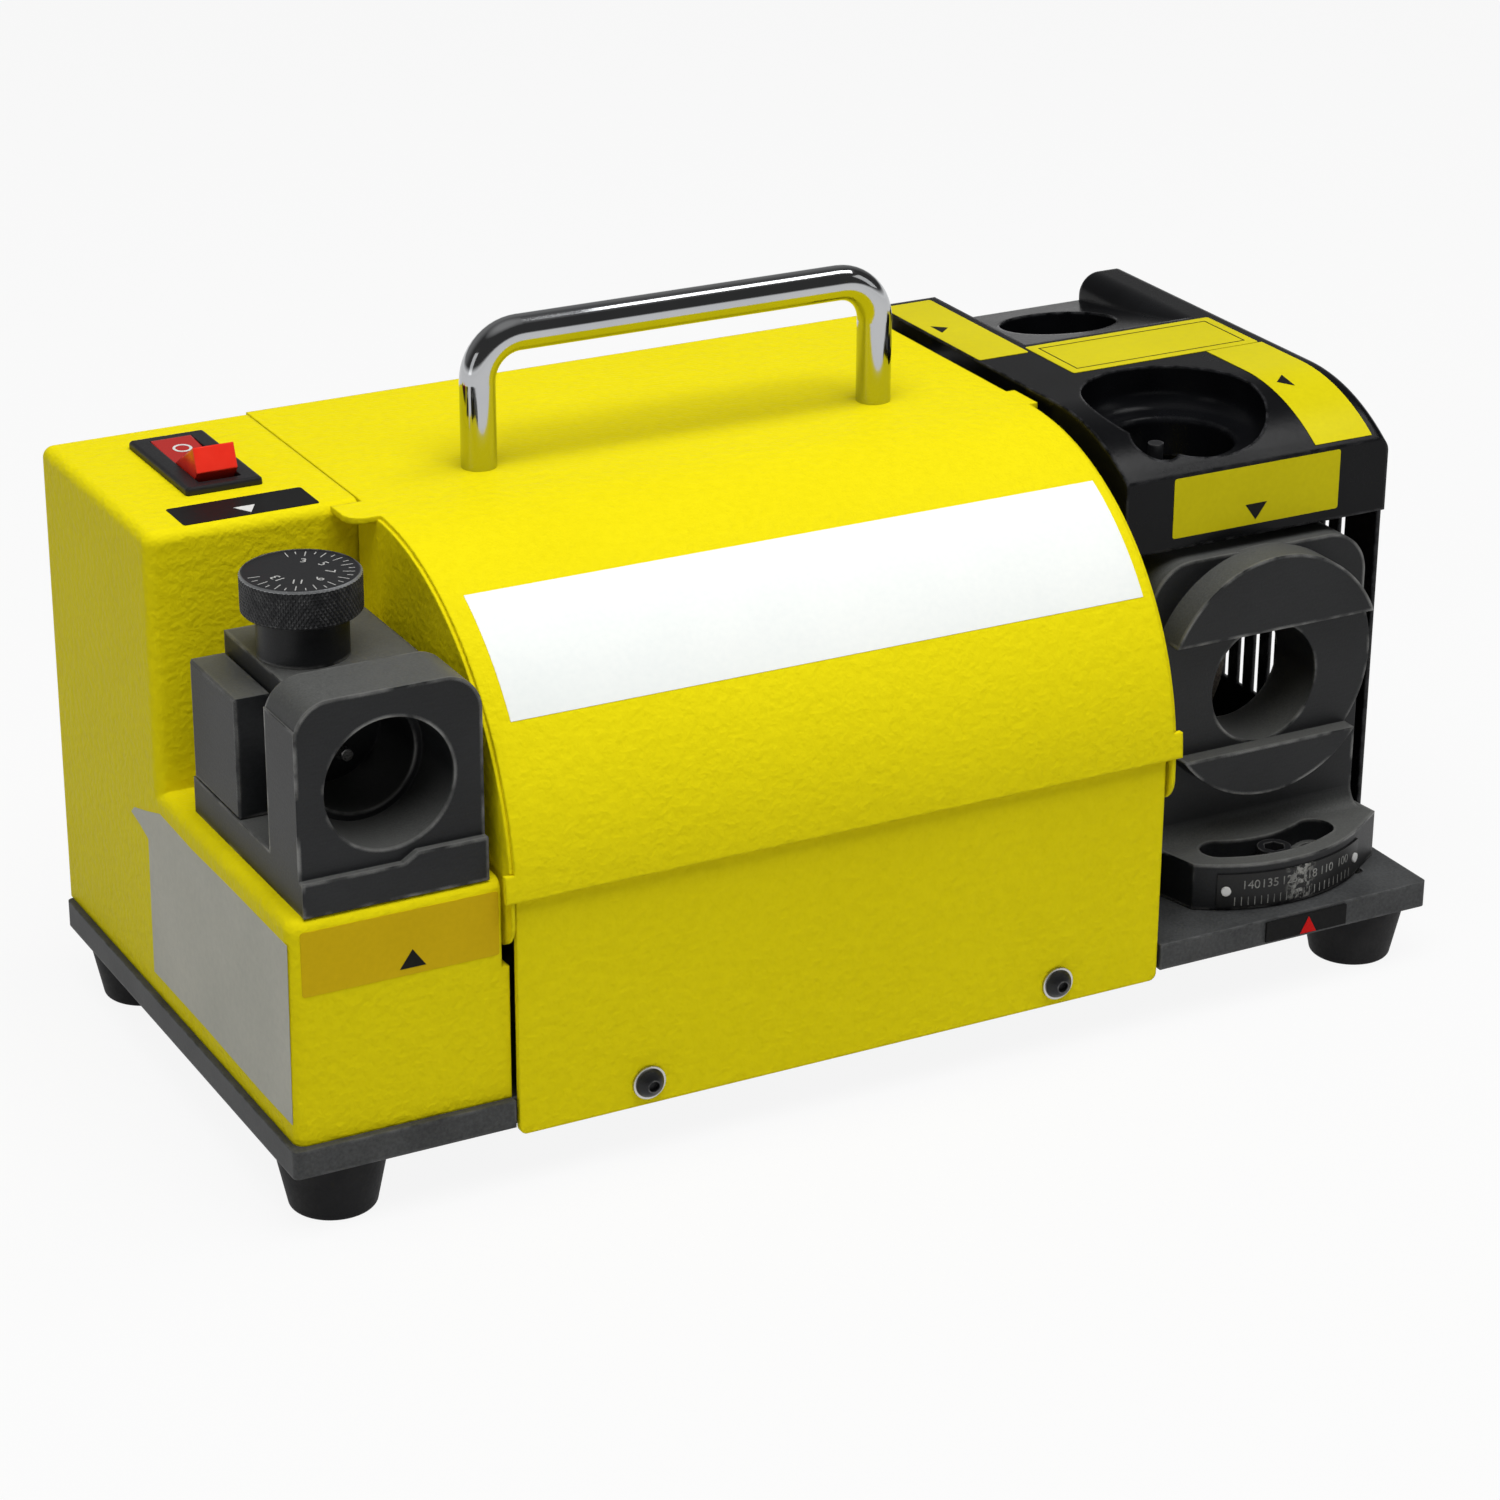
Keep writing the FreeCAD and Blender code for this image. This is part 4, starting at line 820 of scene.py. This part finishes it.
def addScale(spec):
    marks = bmesh.new()

    def face(deg, z):  # a place on the strip's bend, looking outward
        a = math.radians(deg)
        out = Vector((math.sin(a), -math.cos(a), 0))
        spot = at(*spec["centre"], z) + out * mm(spec["radius"] + inkThick / 2)
        return layMatrix(spot, (math.cos(a), math.sin(a), 0), zAxis)

    for i in range(spec["lines"]):
        deg = spec["firstDeg"] + spec["stepDeg"] * i
        stroke(spec["lineWide"], spec["lineTall"], face(deg, spec["lineLow"] + spec["lineTall"] / 2), marks)
    for value, deg in spec["numerals"].items():
        numeral(str(value), spec["tall"], face(deg, spec["numeralZ"]), marks)
    addPiece("scaleMarks", marks, "seat", "fadedInk")


addScale(scaleSpec)
pointerSpec = {"centre": (282.1, -0.6, -3.8), "size": (5.0, 4.6)}
place = layMatrix(at(*pointerSpec["centre"]), xAxis, zAxis)
bm = layDown(triangleSheet(*pointerSpec["size"], inkThick), place)
addPiece("pointerArrow", bm, "chassis", "redInk")


# white ring on the lowered rear end of the rocker
ringSpec = {"centre": (30.6, 134.0, 124.78), "slopeDeg": 3.5, "outer": 2.45, "inner": 1.75}


def addRockerRing(spec):
    bm = bmesh.new()
    bmesh.ops.create_circle(bm, cap_ends=True, segments=40, radius=mm(spec["outer"]))
    inner = bm.faces[:]
    bmesh.ops.inset_region(bm, faces=inner, thickness=mm(spec["outer"] - spec["inner"]), use_boundary=True,
                           use_even_offset=True)
    bmesh.ops.delete(bm, geom=inner, context="FACES")
    thicken(bm, mm(inkThick))
    slope = math.radians(spec["slopeDeg"])
    up = Vector((0, math.cos(slope), math.sin(slope)))
    layDown(bm, layMatrix(at(*spec["centre"]), xAxis, up))
    addPiece("rockerRing", bm, "rocker", "whiteInk")


addRockerRing(ringSpec)
print("marks printed")


# pale floor, soft light and a surround that is white at the horizon
stageSpec = {
    "floorSize": 12.0, "shade": 0.66, "floorRough": 0.7, "keep": 0.9,
    "skyLight": 0.16, "skyBack": 0.24, "skyFront": 0.05, "skyTop": 0.34,
}


def seenRays(w):  # white to the eye and in metal and glass, but no light on the object
    glossy = w.node("LightPath", out="Is Glossy Ray")
    clear = w.node("LightPath", out="Is Transmission Ray")
    return w.node("LightPath", out="Is Camera Ray").atLeast(glossy).atLeast(clear)


def addStage(spec):
    bm = bmesh.new()
    bmesh.ops.create_grid(bm, x_segments=1, y_segments=1, size=spec["floorSize"])
    mesh = bpy.data.meshes.new("floor")
    bm.to_mesh(mesh)
    bm.free()
    floor = bpy.data.objects.new("floor", mesh)
    floor.location.z = cadBox[0].z
    scene.collection.objects.link(floor)
    material = bpy.data.materials.new("paleFloor")
    material.use_nodes = True
    tree = material.node_tree
    shader = tree.nodes["Principled BSDF"]
    shader.inputs["Base Color"].default_value = (spec["shade"], spec["shade"], spec["shade"], 1)
    shader.inputs["Roughness"].default_value = spec["floorRough"]
    w = Wire(tree)
    glow = w.node("Emission", None, {"Color": (1, 1, 1, 1), "Strength": 1.0})
    lit = Wire(tree, shader.outputs[0])  # its share keeps the object's shadow
    mixed = w.node("MixShader", None, {0: seenRays(w) * spec["keep"], 1: lit, 2: glow})
    tree.links.new(mixed.socket, tree.nodes["Material Output"].inputs["Surface"])
    mesh.materials.append(material)
    world = bpy.data.worlds.new("surround")
    scene.world = world
    world.use_nodes = True
    tree = world.node_tree
    tree.nodes.clear()
    w = Wire(tree)
    way = w.node("TexCoord", out="Generated")
    height = w.node("SeparateXYZ", None, {0: way}, 2)
    back = w.node("SeparateXYZ", None, {0: way}, 1)
    dark = back.ramp(0.25, 0.75).tint([spec["skyFront"]] * 3, [spec["skyBack"]] * 3)
    dark = height.ramp(0.82, 0.97).over(dark, [spec["skyTop"]] * 3)
    sky = (1 - height.ramp(0.01, 0.14)).over(dark, (1, 1, 1))
    near = w.node("Background", None, {"Color": sky, "Strength": 1.0})
    far = w.node("Background", None, {"Color": (1, 1, 1, 1), "Strength": spec["skyLight"]})
    mixed = w.node("MixShader", None, {0: seenRays(w), 1: far, 2: near})
    out = tree.nodes.new("ShaderNodeOutputWorld")
    tree.links.new(mixed.socket, out.inputs["Surface"])


lampSpec = {
    "keyLamp": {"spot": (-0.12, -0.4, 1.45), "size": (1.4, 1.0), "watts": 21.5, "mirrored": False},
    "leftLamp": {"spot": (-1.5, -0.35, 0.55), "size": (0.5, 0.9), "watts": 1.1, "mirrored": True},
    "rightLamp": {"spot": (1.3, -0.6, 0.8), "size": (0.5, 0.8), "watts": 0.9, "mirrored": True},
    "crownLamp": {"spot": (0.82, 0.0, 1.45), "size": (0.45, 0.5), "watts": 3.2, "mirrored": True},
}


lampAim = Vector((0, 0, 0.07))


def addLamp(name, spec):
    data = bpy.data.lights.new(name, "AREA")
    data.shape = "RECTANGLE"
    data.size, data.size_y = spec["size"]
    data.energy = spec["watts"]
    lamp = bpy.data.objects.new(name, data)
    lamp.location = spec["spot"]
    lamp.visible_glossy = spec["mirrored"]
    lamp.rotation_mode = "QUATERNION"
    lamp.rotation_quaternion = (lampAim - lamp.location).to_track_quat("-Z", "Y")
    scene.collection.objects.link(lamp)


addStage(stageSpec)
for name, spec in lampSpec.items():
    addLamp(name, spec)
print("stage set")
